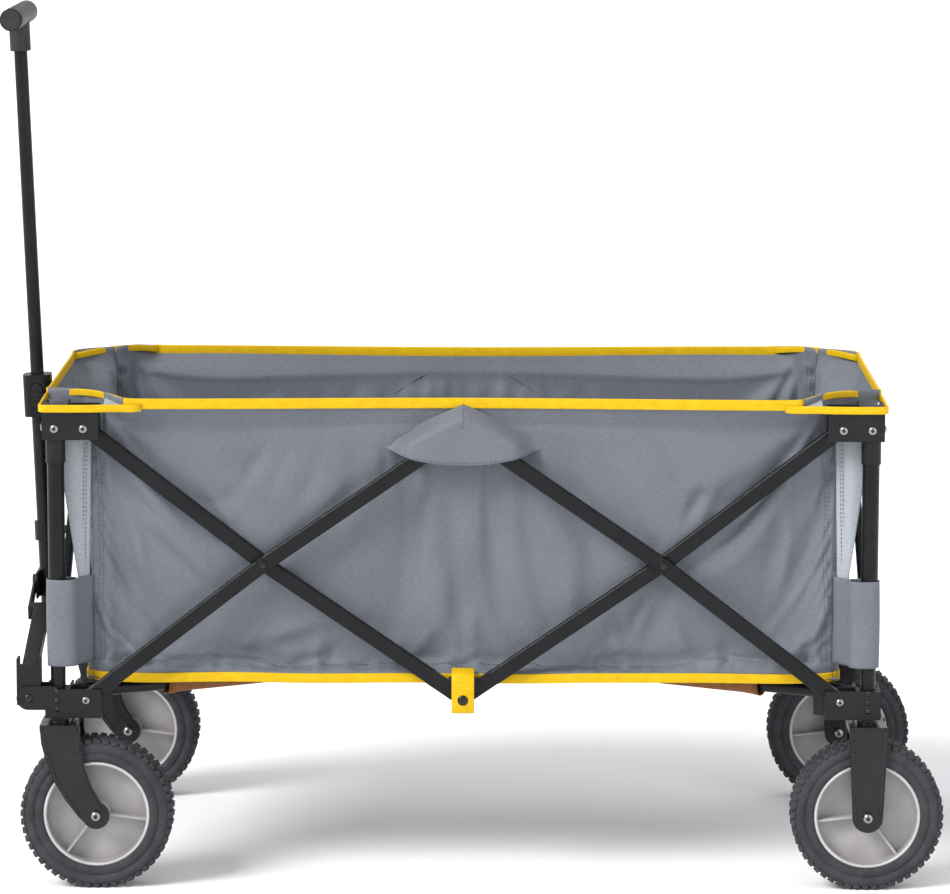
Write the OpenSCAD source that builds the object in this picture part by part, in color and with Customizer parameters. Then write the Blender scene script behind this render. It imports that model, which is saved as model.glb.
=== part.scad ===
// Folding utility wagon with a telescopic pull handle and a fabric tub.
// +X points to the rear, +Y to the right-hand side, +Z up. The floor is Z = 0.
// Corner parts are drawn in a corner frame: origin on the post's axis at floor level,
// +x inwards along the wagon, +y inwards across it.

/* [Frame] */
// Half the distance between front and rear posts
post_x = 475.5; // [430:1:560]
// Half the distance between left and right posts
post_y = 234; // [205:1:275]
// Height of the lower arm pivots
low_z = 224; // [222:1:250]
// Height of the upper arm pivots
top_z = 546; // [500:1:640]
// Distance from a post's axis to the side arms' pivots
pivot_in_x = 33.5; // [32:0.5:45]
// Distance from a post's axis to the end arms' pivots
pivot_in_y = 26; // [26:0.5:34]
// Distance from a post's axis to the floor arm's pivot
floor_pivot = 56; // [54:1:70]
// Length of a floor arm from its pivot
floor_arm_l = 356; // [300:1:358]

/* [Arms and posts] */
// Height of an arm's section
arm_h = 18; // [14:0.5:20]
// Thickness of an arm's section
arm_t = 10; // [8:0.5:10.5]
// Gap between two crossing arms
arm_gap = 1; // [0.8:0.1:1.4]
// Outer radius of the upper post tube
outer_post_r = 10; // [9.5:0.1:10.5]
// Wall of the post tubes
post_wall = 0.9; // [0.8:0.05:1.2]
// Radial gap between the sliding post tubes
post_gap = 0.35; // [0.2:0.05:0.5]
// Radius of the floor arm tubes
floor_arm_r = 8; // [6:0.5:8]
// Radius of the pivot pins
pin_r = 3; // [2.5:0.1:4]
// Radial clearance of a pin in its hole
pin_gap = 0.1; // [0.05:0.01:0.2]

/* [Brackets] */
// Half width of the corner sockets
socket_half = 14.5; // [14.2:0.1:16]
// Thickness of the bracket plates
plate_t = 2.5; // [1.5:0.1:2.6]
// Height of the lower brackets
low_bracket_h = 34; // [32:1:38]
// Height of the upper brackets
top_bracket_h = 40; // [36:1:41]
// Distance that a bracket runs past its pivot
bracket_past = 18; // [14:1:20]

/* [Wheels] */
// Wheel radius over the tyre
wheel_r = 89; // [80:1:92]
// Tyre width
tyre_w = 45; // [36:1:48]
// Radius where the tyre meets the rim
rim_r = 62.5; // [56:0.5:66]
// Trail of the front casters
trail = 45; // [35:1:50]
// Radius of the axles
axle_r = 4; // [3:0.1:5]
// Gap between the tyre and the fork
fork_gap = 3; // [2:0.5:5]
// Thickness of the fork legs
fork_t = 3; // [2:0.5:4]

/* [Handle] */
// Distance from the front posts' axis to the handle's hinge
hinge_out = 34; // [32:1:38]
// Height of the handle's hinge
hinge_z = 226.5; // [224:0.5:230]
// Height of the pivots between yokes and legs
leg_low_z = 252; // [248:1:256]
// Height of the pivots between legs and hub
leg_top_z = 319; // [310:1:330]
// Half the distance between the hub's two pivots
hub_half = 14; // [14:0.5:18]
// Forward lean of the pole
lean = 2.2; // [0:0.1:3]
// Height of the grip's axis
grip_z = 1011; // [950:1:1060]
// Length of the grip
grip_l = 190; // [120:1:220]
// Radius of the grip
grip_r = 13.5; // [11:0.5:16]
// Outer radius of the lower pole
pole_r = 9.5; // [9:0.1:11]
// Radius of the upper pole
inner_pole_r = 8; // [7:0.1:8.2]
// Overlap of the two poles when the handle is pulled out
pole_overlap = 77; // [40:1:80]

/* [Tub] */
// Height of the rim's top
rim_z = 581; // [580:1:586]
// Height of the rim band
rim_h = 13; // [11:1:14]
// Height of the tub's floor
floor_z = 243; // [243:1:250]
// Thickness of the cloth
cloth_t = 2; // [1.5:0.1:2.4]
// Distance from a post's axis to the cloth along the wagon
cloth_in_x = 30; // [28:0.5:40]
// Distance from a post's axis to the cloth across the wagon
cloth_in_y = 17; // [16.5:0.5:24]

/* [Hidden] */

$fn = 48;
steel = "#2b2c2e";
plastic = "#1d1e20";
rubber = "#303133";
rim_grey = "#a9adb0";
cloth = "#7d8790";

// Scissor geometry: each end arm is twice the half arm, each side arm is bent at the crossing
half_h = (top_z - low_z) / 2;
half_w = post_y - pivot_in_y;
half_arm = sqrt(half_w * half_w + half_h * half_h);
phi = atan2(half_h, half_w);
far_x = post_x - pivot_in_x - half_w;
far_arm = sqrt(far_x * far_x + half_h * half_h);
bend = phi - atan2(half_h, far_x);
arm_y = (arm_t + arm_gap) / 2;
tab_t = arm_t / 2 - 0.2;
tab_l = 48;
tab_overlap = 4;
arm_corner_r = 2.5;
rivet_head_r = 5.3;
rivet_head_t = 2;
rivet_gap = 0.3;

// The middle of the bounding box is the origin's X
x_mid = (post_x + hinge_out + (grip_z - leg_top_z) * sin(lean) + grip_r - post_x - wheel_r) / 2;
x_front = x_mid - post_x;
x_rear = x_mid + post_x;
handle_x = x_front - hinge_out;

inner_post_r = outer_post_r - post_wall - post_gap;
low_bracket_z = low_z - 21;
top_bracket_z = top_z - 13;
bracket_inner = socket_half - plate_t;
lower_post_top = top_z - 21;
upper_post_end = top_z - 246;
collar_r = outer_post_r + 1.5;
collar_h = 28;
fork_top = low_bracket_z - 6;
fork_half = tyre_w / 2 + fork_gap + fork_t;
crown_t = 8;
seat_gap = 0.05;
socket_floor = 4;
top_cap = 6;
rim_out = socket_half + 1.5 + cloth_t;
stem_r = 12;
floor_arm_z = 230;
azimuth = atan2(post_y, post_x);

yoke_half = 14;
yoke_wall = 2.5;
yoke_y = bracket_inner - 1;
leg_w = 18;
leg_h = 16;
leg_tab = 62;
leg_tab_t = 3;
leg_reach = post_y - hub_half;
leg_l = sqrt(leg_reach * leg_reach + pow(leg_top_z - leg_low_z, 2));
leg_slope = atan2(leg_top_z - leg_low_z, leg_reach);
hub_plate_x = pole_r + 0.5;
tab_left_x = hub_plate_x + plate_t + 0.5;
tab_right_x = tab_left_x + leg_tab_t + 0.8;
tube_low = leg_top_z - 29;
lock_low = 526;
lock_h = 51;
lock_half = 16;
button_l = 30;
button_w = 14;
button_proud = 2;
button_pocket = 5;
button_play = 0.6;
lock_corner_r = 9;
pole_bore_r = inner_pole_r + 0.3;
grip_socket_gap = 20;

module flip_x(on) {
  if (on) mirror([1, 0, 0]) children();
  else children();
}

module flip_y(on) {
  if (on) mirror([0, 1, 0]) children();
  else children();
}

// Places children, drawn in the corner frame, at a corner: sx and sy are -1 or 1
module at_corner(sx, sy) {
  translate([x_mid + sx * post_x, sy * post_y, 0]) flip_x(sx > 0) flip_y(sy > 0) children();
}

// Round rods along y and x, between two coordinates
module y_rod(r, from, to) {
  translate([0, from, 0]) rotate([-90, 0, 0]) cylinder(r = r, h = to - from);
}

module x_rod(r, from, to) {
  translate([from, 0, 0]) rotate([0, 90, 0]) cylinder(r = r, h = to - from);
}

module tube(r, inner, h) {
  difference() {
    cylinder(r = r, h = h);
    translate([0, 0, -1]) cylinder(r = inner, h = h + 2);
  }
}

// Rectangle with rounded corners, centred
module rounded(w, h, r) {
  square([w - 2 * r, h], center = true);
  square([w, h - 2 * r], center = true);
  for (x = [-1, 1], y = [-1, 1])
    translate([x * (w / 2 - r), y * (h / 2 - r)]) circle(r = r, $fn = 24);
}

// Straight bar of the arm section along +x from 0 to l
module bar(l) {
  rotate([90, 0, 90]) linear_extrude(l) rounded(arm_t, arm_h, arm_corner_r);
}

// Flat half-thickness end of an arm, on the outer (-1) or inner (1) side of its plane
module tab(l, side) {
  y0 = side < 0 ? -arm_t / 2 : arm_t / 2 - tab_t;
  translate([l - tab_l, y0, -arm_h / 2]) cube([tab_l, tab_t, arm_h]);
  translate([l, 0, 0]) y_rod(arm_h / 2, y0, y0 + tab_t);
}

module pin_hole() {
  y_rod(pin_r + pin_gap, -arm_t, arm_t);
}

// Side arm along +x: first stretch to the crossing, second stretch, bent by turn, to the hub tab
module side_arm(turn, side) {
  difference() {
    union() {
      y_rod(arm_h / 2, -arm_t / 2, arm_t / 2);
      bar(half_arm);
      translate([half_arm, 0, 0]) {
        y_rod(arm_h / 2, -arm_t / 2, arm_t / 2);
        rotate([0, -turn, 0]) {
          bar(far_arm - tab_l + tab_overlap);
          tab(far_arm, side);
        }
      }
    }
    pin_hole();
    translate([half_arm, 0, 0]) pin_hole();
    translate([half_arm, 0, 0]) rotate([0, -turn, 0]) translate([far_arm, 0, 0]) pin_hole();
  }
}

// Pin fixed in an arm at its crossing, with a domed head at each end
module crossing_rivet(toward) {
  reach = arm_t * 1.5 + arm_gap + rivet_gap;
  from = toward > 0 ? -arm_t / 2 : -reach;
  to = toward > 0 ? reach : arm_t / 2;
  y_rod(pin_r, from, to);
  y_rod(rivet_head_r, from - rivet_head_t, from);
  y_rod(rivet_head_r, to, to + rivet_head_t);
}

// Pin of the upper hub, fixed in the front arm
module top_hub_pin() {
  outer_head_t = 4;
  y_rod(pin_r, -arm_t / 2 - rivet_head_t, arm_t / 2 + 1);
  y_rod(rivet_head_r, -arm_t / 2 - outer_head_t, -arm_t / 2);
  y_rod(rivet_head_r, arm_t / 2 + rivet_gap, arm_t / 2 + rivet_gap + rivet_head_t);
}

// Side arm that rises from a lower bracket to the upper hub
module rise_arm(sx) {
  color(steel) translate([pivot_in_x, -arm_y, low_z]) rotate([0, -phi, 0]) {
    side_arm(-bend, sx);
    translate([half_arm, 0, 0]) crossing_rivet(1);
    if (sx < 0) translate([half_arm, 0, 0]) rotate([0, bend, 0]) translate([far_arm, 0, 0]) top_hub_pin();
  }
}

// Side arm that falls from an upper bracket to the lower hub
module fall_arm(sx) {
  color(steel) translate([pivot_in_x, arm_y, top_z]) rotate([0, phi, 0]) side_arm(bend, sx);
}

// End arm along +x, pinned at both ends and in the middle
module end_arm() {
  difference() {
    union() {
      bar(2 * half_arm);
      for (x = [0, 2])
        translate([x * half_arm, 0, 0]) y_rod(arm_h / 2, -arm_t / 2, arm_t / 2);
    }
    for (x = [0, 1, 2]) translate([x * half_arm, 0, 0]) pin_hole();
  }
}

module end_rise_arm(sx) {
  color(steel) at_corner(sx, -1) translate([-arm_y, pivot_in_y, low_z])
    rotate([phi, 0, 0]) rotate([0, 0, 90]) {
      end_arm();
      translate([half_arm, 0, 0]) crossing_rivet(-1);
    }
}

module end_fall_arm(sx) {
  color(steel) at_corner(sx, -1) translate([arm_y, pivot_in_y, top_z])
    rotate([-phi, 0, 0]) rotate([0, 0, 90]) end_arm();
}

// Two walls of a clevis for a side arm and two for an end arm, around a post socket
module corner_plates(z, h) {
  side_l = pivot_in_x + bracket_past;
  end_l = pivot_in_y + bracket_past;
  translate([-socket_half, -socket_half, z]) cube([socket_half + side_l, plate_t, h]);
  translate([bracket_inner, bracket_inner, z]) cube([side_l - bracket_inner, plate_t, h]);
  translate([-socket_half, -socket_half, z]) cube([plate_t, socket_half + end_l, h]);
  translate([bracket_inner, bracket_inner, z]) cube([plate_t, end_l - bracket_inner, h]);
}

// Solid block that holds the post
module socket_block(z, h) {
  side = 2 * bracket_inner + plate_t;
  translate([-bracket_inner, -bracket_inner, z]) cube([side, side, h]);
}

// Pins of the side arm and the end arm at a bracket
module arm_pins(z) {
  translate([pivot_in_x, 0, z]) y_rod(pin_r, -socket_half, socket_half);
  translate([0, pivot_in_y, z]) x_rod(pin_r, -socket_half, socket_half);
}

// Forward ears and pin that carry the handle's yoke
module handle_ears() {
  nose_r = 14;
  for (y = [-socket_half, bracket_inner]) {
    translate([-hinge_out, y, hinge_z]) y_rod(nose_r, 0, plate_t);
    translate([-hinge_out, y, hinge_z - nose_r]) cube([hinge_out, plate_t, 2 * nose_r]);
  }
  translate([-hinge_out, 0, hinge_z]) y_rod(axle_r, -socket_half, socket_half);
}

// Ears and pin of the floor arm, in line with the wagon's middle
module floor_ears() {
  half = floor_arm_r + 1;
  long_start = 20;
  ear_start = floor_pivot - 7;
  ear_end = floor_pivot + 8;
  rotate([0, 0, azimuth]) {
    translate([long_start, half, low_bracket_z]) cube([ear_end - long_start, plate_t, low_bracket_h]);
    translate([ear_start, -half - plate_t, low_bracket_z])
      cube([ear_end - ear_start, plate_t, low_bracket_h]);
    translate([floor_pivot, 0, floor_arm_z]) y_rod(pin_r, -half - plate_t, half + plate_t);
  }
}

// Lower corner bracket; the front ones also carry the handle
module bottom_bracket(front) {
  color(plastic) difference() {
    union() {
      socket_block(low_bracket_z, low_bracket_h);
      corner_plates(low_bracket_z, low_bracket_h);
      arm_pins(low_z);
      floor_ears();
      if (front) handle_ears();
    }
    translate([0, 0, low_bracket_z + socket_floor]) cylinder(r = inner_post_r + seat_gap, h = low_bracket_h);
  }
}

// Inner post tube, seated in the lower bracket
module lower_post() {
  foot = low_bracket_z + socket_floor;
  color(steel) translate([0, 0, foot]) tube(inner_post_r, inner_post_r - post_wall, lower_post_top - foot);
}

// Upper corner bracket with the collar round the post
module top_bracket() {
  color(plastic) difference() {
    union() {
      socket_block(top_bracket_z, top_bracket_h);
      corner_plates(top_bracket_z, top_bracket_h);
      arm_pins(top_z);
      translate([0, 0, top_bracket_z - collar_h]) cylinder(r = collar_r, h = collar_h + 1);
    }
    translate([0, 0, top_bracket_z - collar_h - 1])
      cylinder(r = outer_post_r + seat_gap, h = collar_h + 1 + top_bracket_h - top_cap);
  }
}

// Outer post tube, seated in the upper bracket
module upper_post() {
  length = top_bracket_z + top_bracket_h - top_cap - upper_post_end;
  color(steel) translate([0, 0, upper_post_end]) tube(outer_post_r, outer_post_r - post_wall, length);
}

// Tube under the floor, which swings up from the lower bracket
module floor_arm() {
  color(steel) rotate([0, 0, azimuth]) translate([floor_pivot, 0, floor_arm_z]) difference() {
    union() {
      x_rod(floor_arm_r, 0, floor_arm_l);
      sphere(r = floor_arm_r);
    }
    y_rod(pin_r + pin_gap, -floor_arm_r - 1, floor_arm_r + 1);
  }
}

// Outline of a caster's leg, which sweeps back to the axle
module caster_leg() {
  end_r = 16;
  drop = fork_top - wheel_r;
  front_edge = [[-20, 0], [-18.5, -21], [-13, -43], [-4.5, -66], [9, -89]];
  foot = [[trail - 21, -drop - 1], [trail - 14, -drop - 8], [trail + 15, -drop + 4]];
  rear_edge = [[51.5, -93], [41.5, -76], [33, -53], [28.5, -28], [27, 0]];
  translate([0, fork_top]) polygon(concat(front_edge, foot, rear_edge));
  translate([trail, wheel_r]) circle(r = end_r);
}

// Outline of a fixed fork's leg, which hangs straight and narrows
module fixed_leg() {
  top_half = 23;
  end_r = 18;
  polygon([[-top_half, fork_top], [top_half, fork_top], [end_r, wheel_r], [-end_r, wheel_r]]);
  translate([0, wheel_r]) circle(r = end_r);
}

// Fork with its axle bolt; a caster's stem turns under its bracket, a fixed one is joined to it
module fork(front) {
  axle_x = front ? trail : 0;
  crown_x = -20;
  crown_l = 43;
  stem_top = low_bracket_z - fork_top + (front ? 0.7 : 1);
  bolt_r = 6;
  nut_r = 6.5;
  bolt_h = 4;
  color(plastic) {
    for (y = [-fork_half, fork_half - fork_t])
      translate([0, y + fork_t, 0]) rotate([90, 0, 0]) linear_extrude(fork_t) {
        if (front) caster_leg();
        else fixed_leg();
      }
    translate([crown_x, -fork_half, fork_top - crown_t]) cube([crown_l, 2 * fork_half, crown_t]);
    translate([0, 0, fork_top - 1]) cylinder(r = stem_r, h = stem_top);
    translate([axle_x, 0, wheel_r]) {
      y_rod(axle_r, -fork_half - 1, fork_half + 1);
      y_rod(bolt_r, -fork_half - bolt_h, -fork_half);
      y_rod(nut_r, fork_half, fork_half + bolt_h);
    }
  }
}

module at_wheel(front) {
  translate([front ? trail : 0, 0, wheel_r]) rotate([-90, 0, 0]) children();
}

// Tyre with a flat tread and rounded shoulders
module tyre(front) {
  shoulder = 9;
  color(rubber) at_wheel(front) rotate_extrude($fn = 96) {
    translate([rim_r, -tyre_w / 2 + shoulder]) square([wheel_r - rim_r, tyre_w - 2 * shoulder]);
    translate([rim_r, -tyre_w / 2]) square([wheel_r - rim_r - shoulder, tyre_w]);
    for (y = [-1, 1])
      translate([wheel_r - shoulder, y * (tyre_w / 2 - shoulder)]) circle(r = shoulder);
  }
}

// Moulded rim with a web, a boss and three ribs
module wheel(front) {
  rim_w = tyre_w - 6;
  boss_r = 16;
  rim_t = 4;
  web_t = 4;
  rib_t = 3;
  rib_inset = 4;
  first_rib = 7;
  reach = rim_r - boss_r - 2;
  color(rim_grey) at_wheel(front) difference() {
    union() {
      rotate_extrude($fn = 96) {
        translate([rim_r - rim_t, -rim_w / 2]) square([rim_t, rim_w]);
        translate([boss_r - 1, -web_t / 2]) square([reach, web_t]);
      }
      cylinder(r = boss_r, h = tyre_w, center = true);
      for (k = [0:2])
        rotate([0, 0, first_rib + 120 * k]) translate([boss_r - 1, -rib_t / 2, -rim_w / 2 + rib_inset])
          cube([reach, rib_t, rim_w - 2 * rib_inset]);
    }
    cylinder(r = axle_r + pin_gap, h = 2 * tyre_w, center = true);
  }
}

// Bolt and its two washers at the lower hub, where two side arms meet and the hem is tied
module hem_hub() {
  washer_r = 7;
  outer_t = 3;
  outer_gap = 1;
  inner_t = 2;
  inner_gap = 0.4;
  color(plastic) translate([post_x, arm_y, low_z]) {
    y_rod(pin_r, -arm_t / 2 - outer_gap - outer_t, arm_t / 2 + inner_t);
    y_rod(washer_r, -arm_t / 2 - outer_gap - outer_t, -arm_t / 2 - outer_gap);
    y_rod(washer_r, arm_t / 2 + inner_gap, arm_t / 2 + inner_gap + inner_t);
  }
}

// Sleeve of cloth round the upper post's end
module sleeve() {
  sleeve_l = 103;
  sleeve_low = floor_z + 21;
  translate([0, 0, sleeve_low]) tube(outer_post_r + 2.6, outer_post_r + 1, sleeve_l);
}

// Long side of the tub: the wall, the rim that passes over the arms and brackets, and two sleeves
module side_wall(sy) {
  l = 2 * (post_x - cloth_in_x) - 2 * cloth_t - 1;
  rim_l = 2 * (post_x + socket_half);
  color(cloth) at_corner(-1, sy) {
    translate([cloth_in_x + cloth_t + 0.5, cloth_in_y, floor_z]) cube([l, cloth_t, rim_z - floor_z]);
    translate([-socket_half, -rim_out, rim_z - cloth_t]) cube([rim_l, rim_out + cloth_in_y + 1, cloth_t]);
    translate([-socket_half, -rim_out, rim_z - rim_h]) cube([rim_l, cloth_t, rim_h]);
  }
  color(cloth) for (sx = [-1, 1]) at_corner(sx, sy) sleeve();
}

// End of the tub: the wall and its rim, just inside the long sides' rims
module end_wall(sx) {
  inset = 1.5;
  l = 2 * (post_y - cloth_in_y - inset);
  color(cloth) at_corner(sx, -1) {
    translate([cloth_in_x, cloth_in_y + inset, floor_z]) cube([cloth_t, l, rim_z - floor_z]);
    translate([-rim_out, cloth_in_y + inset, rim_z - cloth_t]) cube([rim_out + cloth_in_x + 1, l, cloth_t]);
    translate([-rim_out, -socket_half, rim_z - rim_h]) cube([cloth_t, 2 * (post_y + socket_half), rim_h]);
  }
}

// Floor of the tub, inside its walls
module tub_floor() {
  clear = 0.5;
  x0 = x_front + cloth_in_x + cloth_t + clear;
  y0 = post_y - cloth_in_y - cloth_t - clear;
  color(cloth) translate([x0, -y0, floor_z]) cube([2 * (x_mid - x0), 2 * y0, cloth_t]);
}

// Channel that turns on the handle hinge and holds a leg
module handle_yoke(sy) {
  h = 46;
  back_h = 40;
  foot_half = 9;
  color(plastic) at_corner(-1, sy) translate([-hinge_out, 0, 0]) difference() {
    union() {
      translate([-yoke_half, -yoke_y, hinge_z - foot_half]) cube([2 * yoke_half, 2 * yoke_y, 2 * foot_half]);
      for (x = [-yoke_half, yoke_half - yoke_wall])
        translate([x, -yoke_y, hinge_z]) cube([yoke_wall, 2 * yoke_y, h]);
      translate([-yoke_half, -yoke_y, hinge_z]) cube([2 * yoke_half, yoke_wall, back_h]);
      translate([0, 0, leg_low_z]) x_rod(pin_r, -yoke_half, yoke_half);
    }
    translate([0, 0, hinge_z]) y_rod(axle_r + pin_gap, -yoke_y - 1, yoke_y + 1);
  }
}

// Leg from a yoke to the hub, with a flat tab that laps the hub's plate
module handle_leg(sy) {
  tab_x = sy < 0 ? tab_left_x : tab_right_x;
  tab_face = -tab_x - leg_tab_t;
  step_l = 14;
  step_y = leg_l - leg_tab - step_l;
  color(steel) at_corner(-1, sy) translate([-hinge_out, 0, leg_low_z])
    rotate([leg_slope, 0, 0]) difference() {
      union() {
        translate([-leg_w / 2, 0, -leg_h / 2]) cube([leg_w, leg_l - leg_tab, leg_h]);
        x_rod(leg_h / 2, -leg_w / 2, leg_w / 2);
        translate([tab_face, step_y, -leg_h / 2]) cube([tab_x + leg_tab_t, step_l, leg_h]);
        translate([tab_face, step_y, -leg_h / 2]) cube([leg_tab_t, leg_tab + step_l, leg_h]);
        translate([0, leg_l, 0]) x_rod(leg_h / 2, tab_face, -tab_x);
      }
      x_rod(pin_r + pin_gap, -yoke_half, yoke_half);
      translate([0, leg_l, 0]) x_rod(pin_r + pin_gap, tab_face - 1, -tab_x + 1);
    }
}

// Leans children about the hub
module leaned() {
  translate([handle_x, 0, leg_top_z])
    rotate([0, -lean, 0]) translate([0, 0, -leg_top_z]) children();
}

// Housing of the lock, with the pole's bore and the button's pocket
module lock_housing() {
  translate([0, 0, lock_low]) difference() {
    linear_extrude(lock_h) rounded(2 * lock_half + 2, 2 * lock_half, lock_corner_r);
    translate([0, 0, -1]) cylinder(r = pole_bore_r, h = lock_h + 2);
    translate([0, -lock_half - 1, lock_h / 2]) rotate([-90, 0, 0])
      linear_extrude(button_pocket + 1)
        rounded(button_w + button_play, button_l + button_play, button_w / 2);
  }
}

// Plate at the foot of the pole, with the left leg's pin
module hub_plate() {
  plate_half_y = hub_half + 9;
  plate_half_z = 16;
  block_half_y = 7;
  block_l = hub_plate_x - 8.3;
  translate([handle_x - hub_plate_x - plate_t, -plate_half_y, leg_top_z - plate_half_z])
    cube([plate_t, 2 * plate_half_y, 2 * plate_half_z]);
  translate([handle_x - hub_plate_x - 0.5, -block_half_y, leg_top_z - plate_half_z])
    cube([block_l, 2 * block_half_y, 2 * plate_half_z]);
  translate([handle_x, -hub_half, leg_top_z]) x_rod(pin_r, -tab_left_x - leg_tab_t - 0.3, -hub_plate_x);
}

// Lower pole with its foot, collar, lock housing and hub plate
module handle_tube() {
  foot_h = 6;
  collar_low = 373;
  clip_h = 23;
  color(steel) {
    leaned() {
      translate([0, 0, tube_low]) tube(pole_r, pole_bore_r, lock_low + 1 - tube_low);
      translate([0, 0, tube_low]) cylinder(r = pole_r, h = foot_h);
      translate([0, 0, collar_low]) tube(pole_r + 3.5, pole_r - 0.2, clip_h);
      lock_housing();
    }
    hub_plate();
  }
}

module handle_pole() {
  low = lock_low + lock_h - pole_overlap;
  wall = 1.2;
  high = grip_z - grip_socket_gap;
  color(steel) leaned() translate([0, 0, low]) tube(inner_pole_r, inner_pole_r - wall, high - low);
}

module handle_grip() {
  cap_l = 6;
  socket_r = 12.5;
  socket_l = 42;
  color(plastic) leaned() translate([0, 0, grip_z]) difference() {
    union() {
      y_rod(grip_r, -grip_l / 2 + cap_l, grip_l / 2 - cap_l);
      y_rod(grip_r - 2, -grip_l / 2, grip_l / 2);
      translate([0, 0, -socket_l]) cylinder(r = socket_r, h = socket_l);
    }
    translate([0, 0, -socket_l - 1])
      cylinder(r = inner_pole_r + seat_gap, h = socket_l + 1 - grip_socket_gap);
  }
}

module lock_button() {
  color(plastic) leaned() translate([0, -lock_half - button_proud, lock_low + lock_h / 2])
    rotate([-90, 0, 0]) linear_extrude(button_proud + 2)
      rounded(button_w, button_l, button_w / 2 - 0.3);
}

at_corner(-1, -1) bottom_bracket(true);  // bottom_bracket_fl
at_corner(-1, 1) bottom_bracket(true);  // bottom_bracket_fr
at_corner(1, -1) bottom_bracket(false);  // bottom_bracket_rl
at_corner(1, 1) bottom_bracket(false);  // bottom_bracket_rr
at_corner(-1, -1) lower_post();  // lower_post_fl
at_corner(-1, 1) lower_post();  // lower_post_fr
at_corner(1, -1) lower_post();  // lower_post_rl
at_corner(1, 1) lower_post();  // lower_post_rr
at_corner(-1, -1) top_bracket();  // top_bracket_fl
at_corner(-1, 1) top_bracket();  // top_bracket_fr
at_corner(1, -1) top_bracket();  // top_bracket_rl
at_corner(1, 1) top_bracket();  // top_bracket_rr
at_corner(-1, -1) upper_post();  // upper_post_fl
at_corner(-1, 1) upper_post();  // upper_post_fr
at_corner(1, -1) upper_post();  // upper_post_rl
at_corner(1, 1) upper_post();  // upper_post_rr
at_corner(-1, -1) rise_arm(-1);  // rise_arm_fl
at_corner(-1, 1) rise_arm(-1);  // rise_arm_fr
at_corner(1, -1) rise_arm(1);  // rise_arm_rl
at_corner(1, 1) rise_arm(1);  // rise_arm_rr
at_corner(-1, -1) fall_arm(-1);  // fall_arm_fl
at_corner(-1, 1) fall_arm(-1);  // fall_arm_fr
at_corner(1, -1) fall_arm(1);  // fall_arm_rl
at_corner(1, 1) fall_arm(1);  // fall_arm_rr
end_rise_arm(-1);  // front_rise_arm
end_fall_arm(-1);  // front_fall_arm
end_rise_arm(1);  // rear_rise_arm
end_fall_arm(1);  // rear_fall_arm
at_corner(-1, -1) floor_arm();  // floor_arm_fl
at_corner(-1, 1) floor_arm();  // floor_arm_fr
at_corner(1, -1) floor_arm();  // floor_arm_rl
at_corner(1, 1) floor_arm();  // floor_arm_rr
at_corner(-1, -1) fork(true);  // fork_fl
at_corner(-1, 1) fork(true);  // fork_fr
at_corner(1, -1) fork(false);  // fork_rl
at_corner(1, 1) fork(false);  // fork_rr
at_corner(-1, -1) tyre(true);  // tyre_fl
at_corner(-1, 1) tyre(true);  // tyre_fr
at_corner(1, -1) tyre(false);  // tyre_rl
at_corner(1, 1) tyre(false);  // tyre_rr
at_corner(-1, -1) wheel(true);  // wheel_fl
at_corner(-1, 1) wheel(true);  // wheel_fr
at_corner(1, -1) wheel(false);  // wheel_rl
at_corner(1, 1) wheel(false);  // wheel_rr
at_corner(-1, -1) hem_hub();  // hem_hub_left
at_corner(-1, 1) hem_hub();  // hem_hub_right
side_wall(-1);  // tub_left_wall
side_wall(1);  // tub_right_wall
end_wall(-1);  // tub_front_wall
end_wall(1);  // tub_rear_wall
tub_floor();
handle_yoke(-1);  // handle_yoke_left
handle_yoke(1);  // handle_yoke_right
handle_leg(-1);  // handle_leg_left
handle_leg(1);  // handle_leg_right
handle_tube();
handle_pole();
handle_grip();
lock_button();
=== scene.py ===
"""A folding utility wagon: a fabric tub in a scissor frame, four wheels and a T-grip pull handle.

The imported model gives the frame. This script dresses it, and makes the cloth, the tyres, the screws
and the stitching.
Sizes in the classes are in millimetres; meshes are in metres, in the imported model's own frame.
"""

from __future__ import annotations

import logging
import math
from dataclasses import dataclass, field
from enum import Enum
from typing import Callable, Iterable, Sequence

import bmesh
import bpy
import numpy as np
from mathutils import Matrix, Vector


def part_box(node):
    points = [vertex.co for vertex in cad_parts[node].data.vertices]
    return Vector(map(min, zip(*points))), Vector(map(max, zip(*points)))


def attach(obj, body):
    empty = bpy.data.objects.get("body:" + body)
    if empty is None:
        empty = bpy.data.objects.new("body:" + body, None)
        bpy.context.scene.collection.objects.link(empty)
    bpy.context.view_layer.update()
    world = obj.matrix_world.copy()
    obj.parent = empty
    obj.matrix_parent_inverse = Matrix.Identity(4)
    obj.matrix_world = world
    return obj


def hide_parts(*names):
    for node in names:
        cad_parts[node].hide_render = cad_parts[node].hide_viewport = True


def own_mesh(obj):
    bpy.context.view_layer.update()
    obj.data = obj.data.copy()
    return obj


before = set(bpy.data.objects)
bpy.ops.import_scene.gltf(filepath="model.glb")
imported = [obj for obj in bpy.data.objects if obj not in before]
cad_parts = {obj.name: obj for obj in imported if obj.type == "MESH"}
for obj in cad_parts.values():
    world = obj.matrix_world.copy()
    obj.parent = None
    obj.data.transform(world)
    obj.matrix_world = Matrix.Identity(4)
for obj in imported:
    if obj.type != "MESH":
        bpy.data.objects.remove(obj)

LOG = logging.getLogger("wagon")
MM = 0.001
SEED = 7


# ---------------------------------------------------------------- nodes and colours


def linear(code: str) -> tuple[float, float, float, float]:
    """Turn an sRGB hex colour into linear RGBA.

    Args:
        code: the colour as "#rrggbb".

    Returns:
        The linear red, green, blue and an alpha of 1.
    """
    parts = [int(code[i : i + 2], 16) / 255 for i in (1, 3, 5)]
    done = [c / 12.92 if c <= 0.04045 else ((c + 0.055) / 1.055) ** 2.4 for c in parts]
    return (done[0], done[1], done[2], 1.0)


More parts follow.
